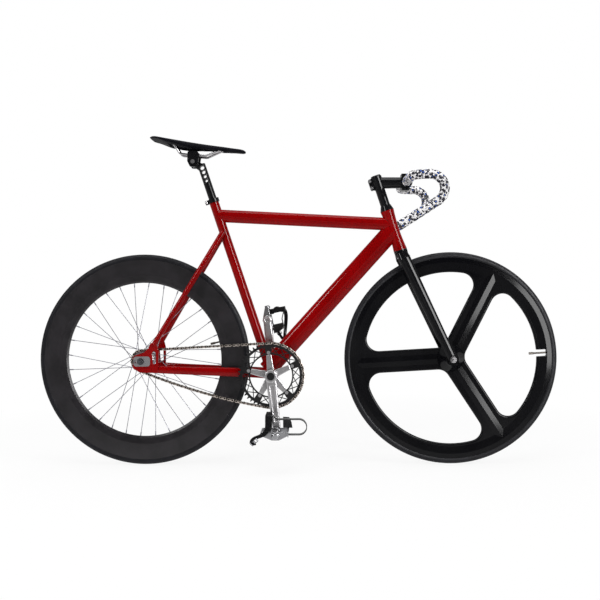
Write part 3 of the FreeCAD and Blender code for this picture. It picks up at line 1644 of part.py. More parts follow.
def rail(shell):
    straight_from = rail_middle + ACROSS * rail_place - rail_along * rail_behind
    straight_to = rail_middle + ACROSS * rail_place + rail_along * rail_ahead
    tail = straight_from + rail_tail
    nose = straight_to + rail_nose
    return largest(swept(bent([tail, straight_from, straight_to, nose], rail_corner), rail_radius).cut(shell))


shell = saddle_shell()
left_rail = rail(shell)
save("saddle_rails", mirror(left_rail), left_rail)
save("saddle", shell)
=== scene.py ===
import json
import math

import bmesh
import bpy
from mathutils import Matrix, Vector


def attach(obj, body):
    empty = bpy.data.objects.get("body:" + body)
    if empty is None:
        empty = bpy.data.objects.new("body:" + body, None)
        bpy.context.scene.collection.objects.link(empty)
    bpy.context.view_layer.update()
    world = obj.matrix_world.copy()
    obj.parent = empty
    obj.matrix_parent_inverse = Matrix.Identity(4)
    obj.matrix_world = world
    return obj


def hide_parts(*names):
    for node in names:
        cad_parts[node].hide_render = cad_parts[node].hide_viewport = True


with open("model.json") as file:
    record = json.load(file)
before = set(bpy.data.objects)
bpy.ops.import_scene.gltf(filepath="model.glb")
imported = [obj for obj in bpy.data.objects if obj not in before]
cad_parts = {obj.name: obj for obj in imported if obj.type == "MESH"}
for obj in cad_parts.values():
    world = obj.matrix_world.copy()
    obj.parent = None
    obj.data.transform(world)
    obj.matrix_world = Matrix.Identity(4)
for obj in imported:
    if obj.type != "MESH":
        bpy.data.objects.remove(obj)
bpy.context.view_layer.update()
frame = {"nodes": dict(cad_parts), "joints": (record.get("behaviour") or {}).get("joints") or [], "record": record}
NODES = frame["nodes"]
RECORD = frame["record"]

# Camera that matches the photograph, in metres, radians and pixels of a 600 by 600 image
IMAGE_SIZE = 600
CAMERA_PLACE = Vector((0.06429, -2.56228, 0.57332))
FOCAL_PIXELS = 809.31
PAN = -0.0208
TILT = -0.0207
ROLL = -0.0071
SENSOR_WIDTH = 36.0


# Node helpers

COLOUR_A, COLOUR_B, COLOUR_RESULT = 6, 7, 2
WORN_EDGE = (0.52, 0.6)
# Painted shade in the corners and gaps of polished metal: how far the ambient occlusion reaches, its range and its
# samples
CORNER_SHADE_REACH = 0.012
CORNER_SHADE_RANGE = (0.35, 0.85)
CORNER_SHADE_SAMPLES = 6
BEVEL_SAMPLES = 8


def new_material(name):
    """A material whose tree holds a Principled shader, joined to the output."""
    made = bpy.data.materials.new(name)
    made.use_nodes = True
    tree = made.node_tree
    tree.nodes.clear()
    output = tree.nodes.new("ShaderNodeOutputMaterial")
    shader = tree.nodes.new("ShaderNodeBsdfPrincipled")
    tree.links.new(shader.outputs["BSDF"], output.inputs["Surface"])
    return made, tree, shader


def object_coords(tree):
    for node in tree.nodes:
        if node.type == "TEX_COORD":
            return node.outputs["Object"]
    return tree.nodes.new("ShaderNodeTexCoord").outputs["Object"]


def noise(tree, scale, detail=3.0, coords=None):
    node = tree.nodes.new("ShaderNodeTexNoise")
    node.inputs["Scale"].default_value = scale
    node.inputs["Detail"].default_value = detail
    tree.links.new(coords or object_coords(tree), node.inputs["Vector"])
    return node.outputs["Fac"]


def ramp(tree, factor, stops, smooth=True):
    """Colours along a factor; stops are (place, colour)."""
    node = tree.nodes.new("ShaderNodeValToRGB")
    node.color_ramp.interpolation = "EASE" if smooth else "CONSTANT"
    elements = node.color_ramp.elements
    while len(elements) < len(stops):
        elements.new(0.5)
    for element, (place, colour) in zip(elements, stops):
        element.position = place
        element.color = (*colour, 1.0)
    tree.links.new(factor, node.inputs["Fac"])
    return node.outputs["Color"]


def spread(tree, factor, low, high, from_low=0.3, from_high=0.7):
    """A factor stretched to a range of values."""
    node = tree.nodes.new("ShaderNodeMapRange")
    node.inputs["From Min"].default_value = from_low
    node.inputs["From Max"].default_value = from_high
    node.inputs["To Min"].default_value = low
    node.inputs["To Max"].default_value = high
    tree.links.new(factor, node.inputs["Value"])
    return node.outputs["Result"]


def math_node(tree, operation, first, second=0.0):
    node = tree.nodes.new("ShaderNodeMath")
    node.operation = operation
    for place, value in enumerate((first, second)):
        if isinstance(value, (int, float)):
            node.inputs[place].default_value = value
        else:
            tree.links.new(value, node.inputs[place])
    return node.outputs["Value"]


def mix_colour(tree, factor, first, second):
    node = tree.nodes.new("ShaderNodeMix")
    node.data_type = "RGBA"
    tree.links.new(factor, node.inputs["Factor"])
    for socket, value in ((node.inputs[COLOUR_A], first), (node.inputs[COLOUR_B], second)):
        if isinstance(value, tuple):
            socket.default_value = (*value, 1.0)
        else:
            tree.links.new(value, socket)
    return node.outputs[COLOUR_RESULT]


def drift(tree, deep, bright, scale, detail=3.0, places=(0.3, 0.7)):
    """A colour that wanders between two tones."""
    return ramp(tree, noise(tree, scale, detail), list(zip(places, (deep, bright))))


def paint(tree, shader, colour):
    tree.links.new(colour, shader.inputs["Base Color"])


def roughen(tree, shader, scale, low, high):
    """A roughness that wanders between two values."""
    tree.links.new(spread(tree, noise(tree, scale), low, high), shader.inputs["Roughness"])


def bump(tree, shader, height, strength, distance):
    node = tree.nodes.new("ShaderNodeBump")
    node.inputs["Strength"].default_value = strength
    node.inputs["Distance"].default_value = distance
    tree.links.new(height, node.inputs["Height"])
    tree.links.new(node.outputs["Normal"], shader.inputs["Normal"])
    return node


def round_edges(tree, bumped, radius):
    """Let the light run round the edges, as on forged and polished pieces."""
    node = tree.nodes.new("ShaderNodeBevel")
    node.samples = BEVEL_SAMPLES
    node.inputs["Radius"].default_value = radius
    tree.links.new(node.outputs["Normal"], bumped.inputs["Normal"])


def edge_wear(tree):
    """Near one along sharp outer edges and near zero elsewhere."""
    node = tree.nodes.new("ShaderNodeNewGeometry")
    return spread(tree, node.outputs["Pointiness"], 0.0, 1.0, *WORN_EDGE)


def corner_shade(tree):
    """Painted shade: near zero in corners and gaps, where shade falls, and one on open faces."""
    node = tree.nodes.new("ShaderNodeAmbientOcclusion")
    node.samples = CORNER_SHADE_SAMPLES
    node.inputs["Distance"].default_value = CORNER_SHADE_REACH
    return spread(tree, node.outputs["AO"], 0.0, 1.0, *CORNER_SHADE_RANGE)


def set_up(shader, metallic=0.0, coat=0.0, coat_roughness=0.03, specular=0.5):
    shader.inputs["Metallic"].default_value = metallic
    shader.inputs["Coat Weight"].default_value = coat
    shader.inputs["Coat Roughness"].default_value = coat_roughness
    shader.inputs["Specular IOR Level"].default_value = specular


# Materials: scales count per metre, and bump distances and radii are in metres

SCRATCH_SCALE = (300.0, 300.0, 2400.0)
WEAR_LIFT = 1.15
# Share of the bright tone that is left in the painted shade of corners and gaps
CORNER_SHADE_SHARE = 0.12
CHAIN_LINE = -0.043
PIN_END = (0.0038, 0.0039)
FLAT_SIDE = (0.88, 0.92)
# Dark tone of the chain's plate edges, rollers and pin ends
CHAIN_DARK_TONE = (0.01, 0.009, 0.008)
SOFT_BLACK = (0.004, 0.004, 0.0058)
DUSTY_RUBBER = (0.009, 0.0088, 0.0125)
RUBBED_LEATHER = (0.009, 0.009, 0.0125)
# Webbing weave: painted shade in the dips of the threads and a painted sheen on their crests
THREAD_DEEP = (0.002, 0.002, 0.003)
THREAD_LIT = (0.012, 0.012, 0.013)
THREAD_SCALE = 260.0
THREAD_WAVER = 0.6
THREAD_SHEEN = 0.03
PEBBLE_SCALE = 700.0
TAPE_WHITE = (0.86, 0.85, 0.86)
SPOT_BLUE = (0.03, 0.1, 0.42)
SPOT_DARK = (0.006, 0.006, 0.016)
SPOT_SCALE = 118.0
SPOT_RANDOMNESS = 0.7
SPOT_EDGE = 0.55
RINGED_SPOT_EDGE = 0.56
SPOT_MIDDLE = 0.3
SPOT_WITH_BLUE = (0.69, 0.7)
SPOT_WARP_SCALE = 170.0
SPOT_WARP = 0.007


def lacquer(name, deep, bright, roughness, coat, blur=0.07):
    """Glossy lacquer: a colour that drifts a little under a clear coat."""
    made, tree, shader = new_material(name)
    paint(tree, shader, drift(tree, deep, bright, scale=7.0))
    roughen(tree, shader, scale=40.0, low=roughness * 0.8, high=roughness * 1.25)
    set_up(shader, coat=coat, coat_roughness=blur, specular=0.0)
    return made


def satin(name, deep, bright, roughness, specular=0.3):
    """Satin anodised or painted metal with a fine grain."""
    made, tree, shader = new_material(name)
    paint(tree, shader, drift(tree, deep, bright, scale=18.0, detail=5.0))
    roughen(tree, shader, scale=90.0, low=roughness * 0.85, high=roughness * 1.2)
    bump(tree, shader, noise(tree, scale=900.0, detail=2.0), strength=0.05, distance=0.0001)
    set_up(shader, specular=specular)
    return made


def polished(name, deep, bright, roughness, rounding=0.0):
    """Polished alloy or steel with fine scratches and worn, brighter edges, its corners and gaps painted darker as
    painted shade.
    """
    made, tree, shader = new_material(name)
    colour = drift(tree, deep, bright, scale=25.0, places=(0.25, 0.75))
    stretch = tree.nodes.new("ShaderNodeMapping")
    stretch.inputs["Scale"].default_value = SCRATCH_SCALE
    tree.links.new(object_coords(tree), stretch.inputs["Vector"])
    scratches = noise(tree, scale=1.0, detail=4.0, coords=stretch.outputs["Vector"])
    lit = tuple(min(1.0, channel * WEAR_LIFT) for channel in bright)
    worn = mix_colour(tree, edge_wear(tree), colour, lit)
    # Corners and gaps are painted dark with this colour: painted shade
    corner_shade_colour = tuple(channel * CORNER_SHADE_SHARE for channel in bright)
    paint(tree, shader, mix_colour(tree, corner_shade(tree), corner_shade_colour, worn))
    sheen = spread(tree, scratches, low=roughness * 0.9, high=roughness * 1.15)
    tree.links.new(sheen, shader.inputs["Roughness"])
    bumped = bump(tree, shader, scratches, strength=0.006, distance=0.0001)
    if rounding:
        round_edges(tree, bumped, rounding)
    set_up(shader, metallic=1.0)
    return made


def chain_metal(name, deep, bright, roughness):
    """Chain steel: flat plate sides bright, and dark on their edges, on the rollers and on the pin ends."""
    made, tree, shader = new_material(name)
    parts = tree.nodes.new("ShaderNodeSeparateXYZ")
    tree.links.new(object_coords(tree), parts.inputs["Vector"])
    offset = math_node(tree, "SUBTRACT", parts.outputs["Y"], CHAIN_LINE)
    inside = spread(tree, math_node(tree, "ABSOLUTE", offset), 1.0, 0.0, *PIN_END)
    surface = tree.nodes.new("ShaderNodeNewGeometry")
    normal = tree.nodes.new("ShaderNodeSeparateXYZ")
    tree.links.new(surface.outputs["True Normal"], normal.inputs["Vector"])
    flat = spread(tree, math_node(tree, "ABSOLUTE", normal.outputs["Y"]), 0.0, 1.0, *FLAT_SIDE)
    # Bright only on flat plate sides near the chain's middle, and dark everywhere else
    bright_share = math_node(tree, "MULTIPLY", inside, flat)
    paint(tree, shader, mix_colour(tree, bright_share, CHAIN_DARK_TONE, drift(tree, deep, bright, scale=300.0)))
    roughen(tree, shader, scale=500.0, low=roughness * 0.85, high=roughness * 1.2)
    set_up(shader, metallic=1.0)
    return made


def rubber(name):
    """Black rubber, dusty in places, with a fine moulded grain."""
    made, tree, shader = new_material(name)
    paint(tree, shader, drift(tree, SOFT_BLACK, DUSTY_RUBBER, scale=25.0, detail=6.0, places=(0.3, 0.75)))
    roughen(tree, shader, scale=60.0, low=0.42, high=0.6)
    bump(tree, shader, noise(tree, scale=1500.0, detail=2.0), strength=0.2, distance=0.0002)
    set_up(shader, specular=0.2)
    return made


def moulded_plastic(name, deep, bright, roughness):
    """Black plastic with a fine moulded grain."""
    made, tree, shader = new_material(name)
    paint(tree, shader, drift(tree, deep, bright, scale=30.0, detail=4.0))
    roughen(tree, shader, scale=120.0, low=roughness * 0.8, high=roughness * 1.2)
    bump(tree, shader, noise(tree, scale=1800.0, detail=1.0), strength=0.15, distance=0.0002)
    set_up(shader)
    return made


def webbing(name):
    """Black nylon webbing: crossed sets of threads."""
    made, tree, shader = new_material(name)
    heights = []
    for axis in ("X", "Y", "Z"):
        wave = tree.nodes.new("ShaderNodeTexWave")
        wave.bands_direction = axis
        wave.inputs["Scale"].default_value = THREAD_SCALE
        wave.inputs["Distortion"].default_value = THREAD_WAVER
        tree.links.new(object_coords(tree), wave.inputs["Vector"])
        heights.append(wave.outputs["Fac"])
    weave = math_node(tree, "MULTIPLY", math_node(tree, "ADD", heights[0], heights[1]), heights[2])
    # The thread crests are painted lighter and the dips darker: a painted sheen and painted shade on the weave
    paint(tree, shader, ramp(tree, weave, [(0.1, THREAD_DEEP), (0.9, THREAD_LIT)]))
    dull = spread(tree, weave, low=0.75, high=0.5, from_low=0.0, from_high=1.0)
    tree.links.new(dull, shader.inputs["Roughness"])
    bump(tree, shader, weave, strength=0.5, distance=0.0004)
    shader.inputs["Sheen Weight"].default_value = THREAD_SHEEN
    set_up(shader, specular=0.06)
    return made


def leather(name):
    """Black saddle cover with a pebbled grain and softly rubbed places."""
    made, tree, shader = new_material(name)
    cells = tree.nodes.new("ShaderNodeTexVoronoi")
    cells.inputs["Scale"].default_value = PEBBLE_SCALE
    tree.links.new(object_coords(tree), cells.inputs["Vector"])
    paint(tree, shader, drift(tree, SOFT_BLACK, RUBBED_LEATHER, scale=22.0, detail=5.0, places=(0.3, 0.75)))
    roughen(tree, shader, scale=45.0, low=0.45, high=0.62)
    bump(tree, shader, cells.outputs["Distance"], strength=0.2, distance=0.0003)
    set_up(shader, specular=0.02)
    return made


def spotted(name):
    """White tape with a common animal spot print: small dark spots, some of them with blue middles."""
    made, tree, shader = new_material(name)
    coords = object_coords(tree)
    warp = tree.nodes.new("ShaderNodeTexNoise")
    warp.inputs["Scale"].default_value = SPOT_WARP_SCALE
    tree.links.new(coords, warp.inputs["Vector"])
    shift = tree.nodes.new("ShaderNodeVectorMath")
    shift.operation = "MULTIPLY_ADD"
    shift.inputs[1].default_value = (SPOT_WARP, SPOT_WARP, SPOT_WARP)
    tree.links.new(warp.outputs["Color"], shift.inputs[0])
    tree.links.new(coords, shift.inputs[2])
    cells = tree.nodes.new("ShaderNodeTexVoronoi")
    cells.inputs["Scale"].default_value = SPOT_SCALE
    cells.inputs["Randomness"].default_value = SPOT_RANDOMNESS
    tree.links.new(shift.outputs["Vector"], cells.inputs["Vector"])
    plain_stops = [(0.0, SPOT_DARK), (SPOT_EDGE, TAPE_WHITE)]
    ringed_stops = [(0.0, SPOT_BLUE), (SPOT_MIDDLE, SPOT_DARK), (RINGED_SPOT_EDGE, TAPE_WHITE)]
    plain = ramp(tree, cells.outputs["Distance"], plain_stops, smooth=False)
    ringed = ramp(tree, cells.outputs["Distance"], ringed_stops, smooth=False)
    pick = tree.nodes.new("ShaderNodeSeparateColor")
    tree.links.new(cells.outputs["Color"], pick.inputs["Color"])
    with_blue = spread(tree, pick.outputs["Red"], 0.0, 1.0, *SPOT_WITH_BLUE)
    paint(tree, shader, mix_colour(tree, with_blue, plain, ringed))
    roughen(tree, shader, scale=200.0, low=0.45, high=0.62)
    bump(tree, shader, noise(tree, scale=1200.0, detail=2.0), strength=0.2, distance=0.0003)
    set_up(shader, specular=0.3)
    return made


# Colours, each as a deep and a bright tone

RED = (0.21, 0.0006, 0.001), (0.27, 0.001, 0.0016)
FORK_BLACK = (0.004, 0.004, 0.005), (0.008, 0.008, 0.009)
WHEEL_BLACK = (0.003, 0.003, 0.004), (0.006, 0.006, 0.007)
ALLOY_BLACK = (0.006, 0.006, 0.007), (0.012, 0.012, 0.013)
RIM_BLACK = (0.008, 0.0068, 0.0084), (0.017, 0.0144, 0.0175)
PLUG_BLACK = (0.004, 0.004, 0.004), (0.01, 0.01, 0.01)
CLIP_BLACK = (0.004, 0.004, 0.005), (0.01, 0.01, 0.011)
ALLOY_GREY = (0.52, 0.51, 0.52), (0.64, 0.63, 0.64)
CHROME_GREY = (0.32, 0.32, 0.335), (0.46, 0.46, 0.475)
BRIGHT_GREY = (0.36, 0.35, 0.36), (0.5, 0.49, 0.5)
DARK_GREY = (0.05, 0.05, 0.055), (0.13, 0.13, 0.14)
SPOKE_GREY = (0.12, 0.12, 0.14), (0.2, 0.2, 0.23)
VALVE_BROWN = (0.04, 0.035, 0.03), (0.09, 0.08, 0.07)
# Chain plates: a bright tone for the outer links and a darker one for the inner links
BRIGHT_LINK = (0.44, 0.38, 0.34), (0.62, 0.55, 0.5)
DARKER_LINK = (0.06, 0.052, 0.045), (0.11, 0.095, 0.08)

MATERIALS = {
    "frame_paint": lacquer("red_lacquer", *RED, roughness=0.3, coat=0.3),
    "black_paint": lacquer("black_lacquer", *FORK_BLACK, roughness=0.3, coat=0.4),
    "moulded_wheel": lacquer("moulded_black", *WHEEL_BLACK, roughness=0.28, coat=0.26, blur=0.11),
    "black_alloy": satin("black_anodised", *ALLOY_BLACK, roughness=0.35),
    "dark_rim": satin("dark_satin_rim", *RIM_BLACK, roughness=0.33, specular=0.42),
    "tyre": rubber("tyre_rubber"),
    "silver_alloy": polished("polished_alloy", *ALLOY_GREY, roughness=0.28, rounding=0.004),
    "steel": polished("bright_steel", *BRIGHT_GREY, roughness=0.26),
    "chain_steel": chain_metal("chain_steel", *BRIGHT_LINK, roughness=0.3),
    "valve_brass": polished("dark_valve", *VALVE_BROWN, roughness=0.35),
    "spotted_tape": spotted("spotted_tape"),
    "plug": moulded_plastic("plug_plastic", *PLUG_BLACK, roughness=0.4),
    "clip": moulded_plastic("clip_plastic", *CLIP_BLACK, roughness=0.35),
    "strap": webbing("strap_webbing"),
    "saddle_cover": leather("saddle_leather"),
}

CHROME = polished("chromed_alloy", *CHROME_GREY, roughness=0.2, rounding=0.003)
DARKER_CHAIN = chain_metal("darker_chain_steel", *DARKER_LINK, roughness=0.35)
DARK_STEEL = polished("dark_steel", *DARK_GREY, roughness=0.42)
SPOKE_STEEL = polished("spoke_steel", *SPOKE_GREY, roughness=0.3)

SPECIAL = {
    "right_pedal": CHROME,
    "left_pedal": CHROME,
    "seat_collar_bolt": MATERIALS["silver_alloy"],
    "rear_axle": DARK_STEEL,
}

SLOT_OF = {row["node"]: row["material_slot"] for row in RECORD["subparts"]}
for node_name, node in NODES.items():
    node.data.materials.clear()
    node.data.materials.append(SPECIAL.get(node_name) or MATERIALS[SLOT_OF[node_name]])


# Pieces that stand for CAD solids

ACROSS = Vector((0.0, 1.0, 0.0))
UP = Vector((0.0, 0.0, 1.0))
AHEAD = Vector((1.0, 0.0, 0.0))
WELD_DISTANCE = 1e-6
JOINT_PLACE = {joint["name"]: Vector(joint["pos_m"]) for joint in frame["joints"] if "pos_m" in joint}


def add_piece(name, verts, faces, slot, body, nodes, smooth_angle=40.0, material=None):
    """A new mesh piece that rides on a body and stands for the CAD nodes, if any."""
    mesh = bpy.data.meshes.new(name)
    mesh.from_pydata([tuple(v) for v in verts], [], faces)
    mesh.validate()
    mesh.materials.append(material or MATERIALS[slot])
    made = bpy.data.objects.new(name, mesh)
    bpy.context.scene.collection.objects.link(made)
    turn_outward(mesh)
    mesh.shade_smooth()
    mesh.set_sharp_from_angle(angle=math.radians(smooth_angle))
    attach(made, body)
    if nodes:
        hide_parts(*nodes)
    return made


def turn_outward(mesh):
    work = bmesh.new()
    work.from_mesh(mesh)
    bmesh.ops.recalc_face_normals(work, faces=work.faces)
    work.to_mesh(mesh)
    work.free()


def islands(node_name):
    """The separate solids of a CAD node, each as a list of corner points."""
    work = bmesh.new()
    work.from_mesh(NODES[node_name].data)
    bmesh.ops.remove_doubles(work, verts=work.verts, dist=WELD_DISTANCE)
    seen = set()
    found = []
    for vert in work.verts:
        if vert in seen:
            continue
        seen.add(vert)
        waiting = [vert]
        points = []
        while waiting:
            here = waiting.pop()
            points.append(here.co.copy())
            for edge in here.link_edges:
                other = edge.other_vert(here)
                if other not in seen:
                    seen.add(other)
                    waiting.append(other)
        found.append(points)
    work.free()
    return found


class Shape:
    """Corner points and faces that several small forms are gathered in."""

    def __init__(self):
        self.verts = []
        self.faces = []

    def add(self, verts, faces):
        first = len(self.verts)
        self.verts += verts
        self.faces += [tuple(first + place for place in face) for face in faces]

    def prism(self, outline, lift):
        """A closed outline of points pushed along lift, with both ends capped."""
        count = len(outline)
        verts = list(outline) + [point + lift for point in outline]
        faces = [tuple(range(count)), tuple(range(2 * count - 1, count - 1, -1))]
        for place in range(count):
            after = (place + 1) % count
            faces.append((place, count + place, count + after, after))
        self.add(verts, faces)

    def loops(self, rings, closed=False):
        """Skin over rings of equally many points, capped unless the last ring joins the first."""
        count = len(rings[0])
        verts = [point for ring in rings for point in ring]
        faces = []
        steps = len(rings) if closed else len(rings) - 1
        for step in range(steps):
            low = step * count
            high = (step + 1) % len(rings) * count
            for place in range(count):
                after = (place + 1) % count
                faces.append((low + place, high + place, high + after, low + after))
        if not closed:
            faces.append(tuple(range(count)))
            faces.append(tuple(range(len(verts) - 1, len(verts) - count - 1, -1)))
        self.add(verts, faces)


def circle(centre, first, second, radius, count):
    """Points round a centre in the plane of two directions."""
    points = []
    for step in range(count):
        turn = 2 * math.pi * step / count
        points.append(centre + first * (radius * math.cos(turn)) + second * (radius * math.sin(turn)))
    return points


# Chain: waisted plates, round rollers and pins, on the places of the CAD links

CHAIN_PITCH = 0.0127
PLATE_RADIUS = 0.0042
PLATE_WAIST = 0.0029
PLATE_EDGE = 0.0011
EDGE_HEIGHT = 0.0004
PIN_RADIUS = 0.0025
PIN_PROUD = 0.0004
PIN_LENGTH = 0.0074 + 2 * PIN_PROUD
ROLLER_RADIUS = 0.00385
WAIST_REACH = math.radians(62.0)
END_STEPS = 8
PIN_SIDES = 10
ROLLER_SIDES = 14


def plate_outline(start, end, inset):
    """Two round ends drawn in to a waist between the pins."""
    radius = PLATE_RADIUS - inset
    along = (end - start).normalized()
    side = along.cross(ACROSS)
    points = []
    for hub, out in ((end, along), (start, -along)):
        up = side if hub is end else -side
        for step in range(END_STEPS + 1):
            turn = (math.pi - WAIST_REACH) * (2.0 * step / END_STEPS - 1.0)
            points.append(hub + out * (radius * math.cos(turn)) + up * (radius * math.sin(turn)))
        points.append((start + end) / 2 + up * (PLATE_WAIST - inset))
    return points


def link_shape(node_name, with_pins):
    """Rollers and chamfered plates of one set of links, and the pins through them from the plates outside."""
    made = Shape()
    for points in islands(node_name):
        middle = sum(points, Vector()) / len(points)
        low = min(point.y for point in points)
        high = max(point.y for point in points)
        far = max(points, key=lambda point: (Vector((point.x, middle.y, point.z)) - middle).length)
        along = Vector((far.x - middle.x, 0.0, far.z - middle.z))
        foot = Vector((middle.x, low, middle.z))
        width = high - low
        if along.length < CHAIN_PITCH / 2:
            made.prism(circle(foot, AHEAD, UP, ROLLER_RADIUS, ROLLER_SIDES), ACROSS * width)
            continue
        half = along.normalized() * (CHAIN_PITCH / 2)
        start = foot - half
        end = foot + half
        levels = ((0.0, PLATE_EDGE), (EDGE_HEIGHT, 0.0), (width - EDGE_HEIGHT, 0.0), (width, PLATE_EDGE))
        rings = []
        for lift, inset in levels:
            rings.append([point + ACROSS * lift for point in plate_outline(start, end, inset)])
        made.loops(rings)
        if with_pins and middle.y < JOINT_PLACE["crank_spin"].y + CHAIN_LINE:
            for place in (start, end):
                pin_foot = place - ACROSS * PIN_PROUD
                made.prism(circle(pin_foot, AHEAD, UP, PIN_RADIUS, PIN_SIDES), ACROSS * PIN_LENGTH)
    return made


chain_inner = link_shape("chain_inner_links", with_pins=False)
add_piece("chain_inner", chain_inner.verts, chain_inner.faces, "chain_steel", "frame", ["chain_inner_links"],
          material=DARKER_CHAIN)
chain_outer = link_shape("chain_outer_links", with_pins=True)
add_piece("chain_outer", chain_outer.verts, chain_outer.faces, "chain_steel", "frame", ["chain_outer_links"])

# Spokes: round wires and stepped nipples on the places of the CAD wires

SPOKE_RADIUS = 0.001
NIPPLE_RADIUS = 0.0018
NIPPLE_LIMIT = 0.0015
WIRE_STATIONS = ((0.0, 1.0), (1.0, 1.0))
NIPPLE_STATIONS = ((0.0, 0.8), (0.08, 1.0), (0.92, 1.0), (1.0, 0.8))
SPOKE_END = 0.005
SPOKE_SIDES = 10


def spoke_shape():
    """A wire or a nipple for each CAD cylinder; stations are (share of its length, share of its radius)."""
    made = Shape()
    for points in islands("rear_spokes"):
        middle = sum(points, Vector()) / len(points)
        far = max(points, key=lambda point: (point - middle).length)
        one_end = [point for point in points if (point - far).length < SPOKE_END]
        other_end = [point for point in points if (point - far).length >= SPOKE_END]
        start = sum(one_end, Vector()) / len(one_end)
        end = sum(other_end, Vector()) / len(other_end)
        along = (end - start).normalized()
        side = along.cross(ACROSS).normalized()
        other = along.cross(side)
        radius, stations = SPOKE_RADIUS, WIRE_STATIONS
        if (far - start).length > NIPPLE_LIMIT:
            radius, stations = NIPPLE_RADIUS, NIPPLE_STATIONS
        rings = []
        for share, size in stations:
            rings.append(circle(start.lerp(end, share), side, other, radius * size, SPOKE_SIDES))
        made.loops(rings)
    return made


spoke_set = spoke_shape()
add_piece("wire_spokes", spoke_set.verts, spoke_set.faces, "steel", "rear_wheel", ["rear_spokes"],
          material=SPOKE_STEEL)

# Tyres: a round carcass with shallow grooves beside the tread and one low on each side

TYRE_RADIUS = 0.334
TYRE_HALF_WIDTH = 0.0115
RIM_EDGE = 0.317
TYRE_STEPS = 180
CARCASS_STEPS = 40
GROOVE_PLACES = (0.30, 0.42)
GROOVE_HALF = 0.02
GROOVE_DEPTH = 0.0005
SIDE_GROOVE_PLACE = 0.83
SIDE_GROOVE_DEPTH = 0.0004
BEAD_WIDTH = 0.0035
TYRE_SMOOTH = 30.0


def tyre_outline():
    """Points (radius, y) over the tyre from one rim edge to the other."""
    centre = TYRE_RADIUS - TYRE_HALF_WIDTH
    first = math.acos((RIM_EDGE - centre) / TYRE_HALF_WIDTH)
    points = []
    for step in range(CARCASS_STEPS + 1):
        share = 2.0 * step / CARCASS_STEPS - 1.0
        radius = TYRE_HALF_WIDTH
        for place in GROOVE_PLACES:
            if abs(abs(share) - place) < GROOVE_HALF:
                radius -= GROOVE_DEPTH
        if abs(abs(share) - SIDE_GROOVE_PLACE) < GROOVE_HALF:
            radius -= SIDE_GROOVE_DEPTH
        turn = first * share
        points.append((centre + radius * math.cos(turn), radius * math.sin(turn)))
    inner = TYRE_HALF_WIDTH - BEAD_WIDTH
    return points + [(RIM_EDGE, inner), (RIM_EDGE, -inner)]


def add_tyre(name, wheel_joint, body, node_name):
    hub = JOINT_PLACE[wheel_joint]
    rings = []
    for step in range(TYRE_STEPS):
        turn = 2 * math.pi * step / TYRE_STEPS
        out = Vector((math.cos(turn), 0.0, math.sin(turn)))
        rings.append([hub + out * radius + ACROSS * y for radius, y in tyre_outline()])
    made = Shape()
    made.loops(rings, closed=True)
    add_piece(name, made.verts, made.faces, "tyre", body, [node_name], TYRE_SMOOTH)


add_tyre("front_tyre_skin", "front_wheel_spin", "front_wheel", "front_tyre")
add_tyre("rear_tyre_skin", "rear_wheel_spin", "rear_wheel", "rear_tyre")

# Bar tape: wound in overlapping turns along the bar, from beside the stem to the bar's ends

BAR_HALF_WIDTH = 0.205
BAR_CORNER = 0.045
BAR_RAMP = 0.004
DROP_RADIUS = 0.042
DROP_TURN = math.radians(147.4)
DROP_STRAIGHT = 0.131
TAPE_START = 0.032
TAPE_RADIUS = 0.0136
TAPE_LAP = 0.0008
TAPE_PITCH = 0.021
TAPE_STEP = 0.0014
TAPE_SIDES = 26
LAP_CURVE = 1.5
LAP_EDGE = 0.94
SOFT_SMOOTH = 60.0


def bar_line(side):
    """Points and directions along one half of the bar, evenly spaced."""
    bar = JOINT_PLACE["handlebar_roll"]
    out = ACROSS * side
    corner_hub = bar + out * (BAR_HALF_WIDTH - BAR_CORNER) + AHEAD * BAR_CORNER
    drop_hub = bar + out * BAR_HALF_WIDTH + AHEAD * (BAR_CORNER + BAR_RAMP) - UP * DROP_RADIUS
    drop_end = drop_hub + (AHEAD * math.sin(DROP_TURN) + UP * math.cos(DROP_TURN)) * DROP_RADIUS
    drop_way = AHEAD * math.cos(DROP_TURN) - UP * math.sin(DROP_TURN)
    stretches = [
        (BAR_HALF_WIDTH - BAR_CORNER - TAPE_START, lambda d: (bar + out * (TAPE_START + d), out)),
        (BAR_CORNER * math.pi / 2, lambda d: turned(corner_hub, -AHEAD, out, d / BAR_CORNER, BAR_CORNER)),
        (BAR_RAMP, lambda d: (bar + out * BAR_HALF_WIDTH + AHEAD * (BAR_CORNER + d), AHEAD)),
        (DROP_RADIUS * DROP_TURN, lambda d: turned(drop_hub, UP, AHEAD, d / DROP_RADIUS, DROP_RADIUS)),
        (DROP_STRAIGHT, lambda d: (drop_end + drop_way * d, drop_way)),
    ]
    line = []
    travelled = 0.0
    for length, at in stretches:
        count = max(2, round(length / TAPE_STEP))
        for step in range(count):
            distance = length * step / count
            line.append((travelled + distance, *at(distance)))
        travelled += length
    line.append((travelled, *stretches[-1][1](DROP_STRAIGHT)))
    return line


def turned(hub, first, second, turn, radius):
    """A point on an arc that starts along first and turns towards second, and its direction."""
    place = hub + (first * math.cos(turn) + second * math.sin(turn)) * radius
    return place, second * math.cos(turn) - first * math.sin(turn)


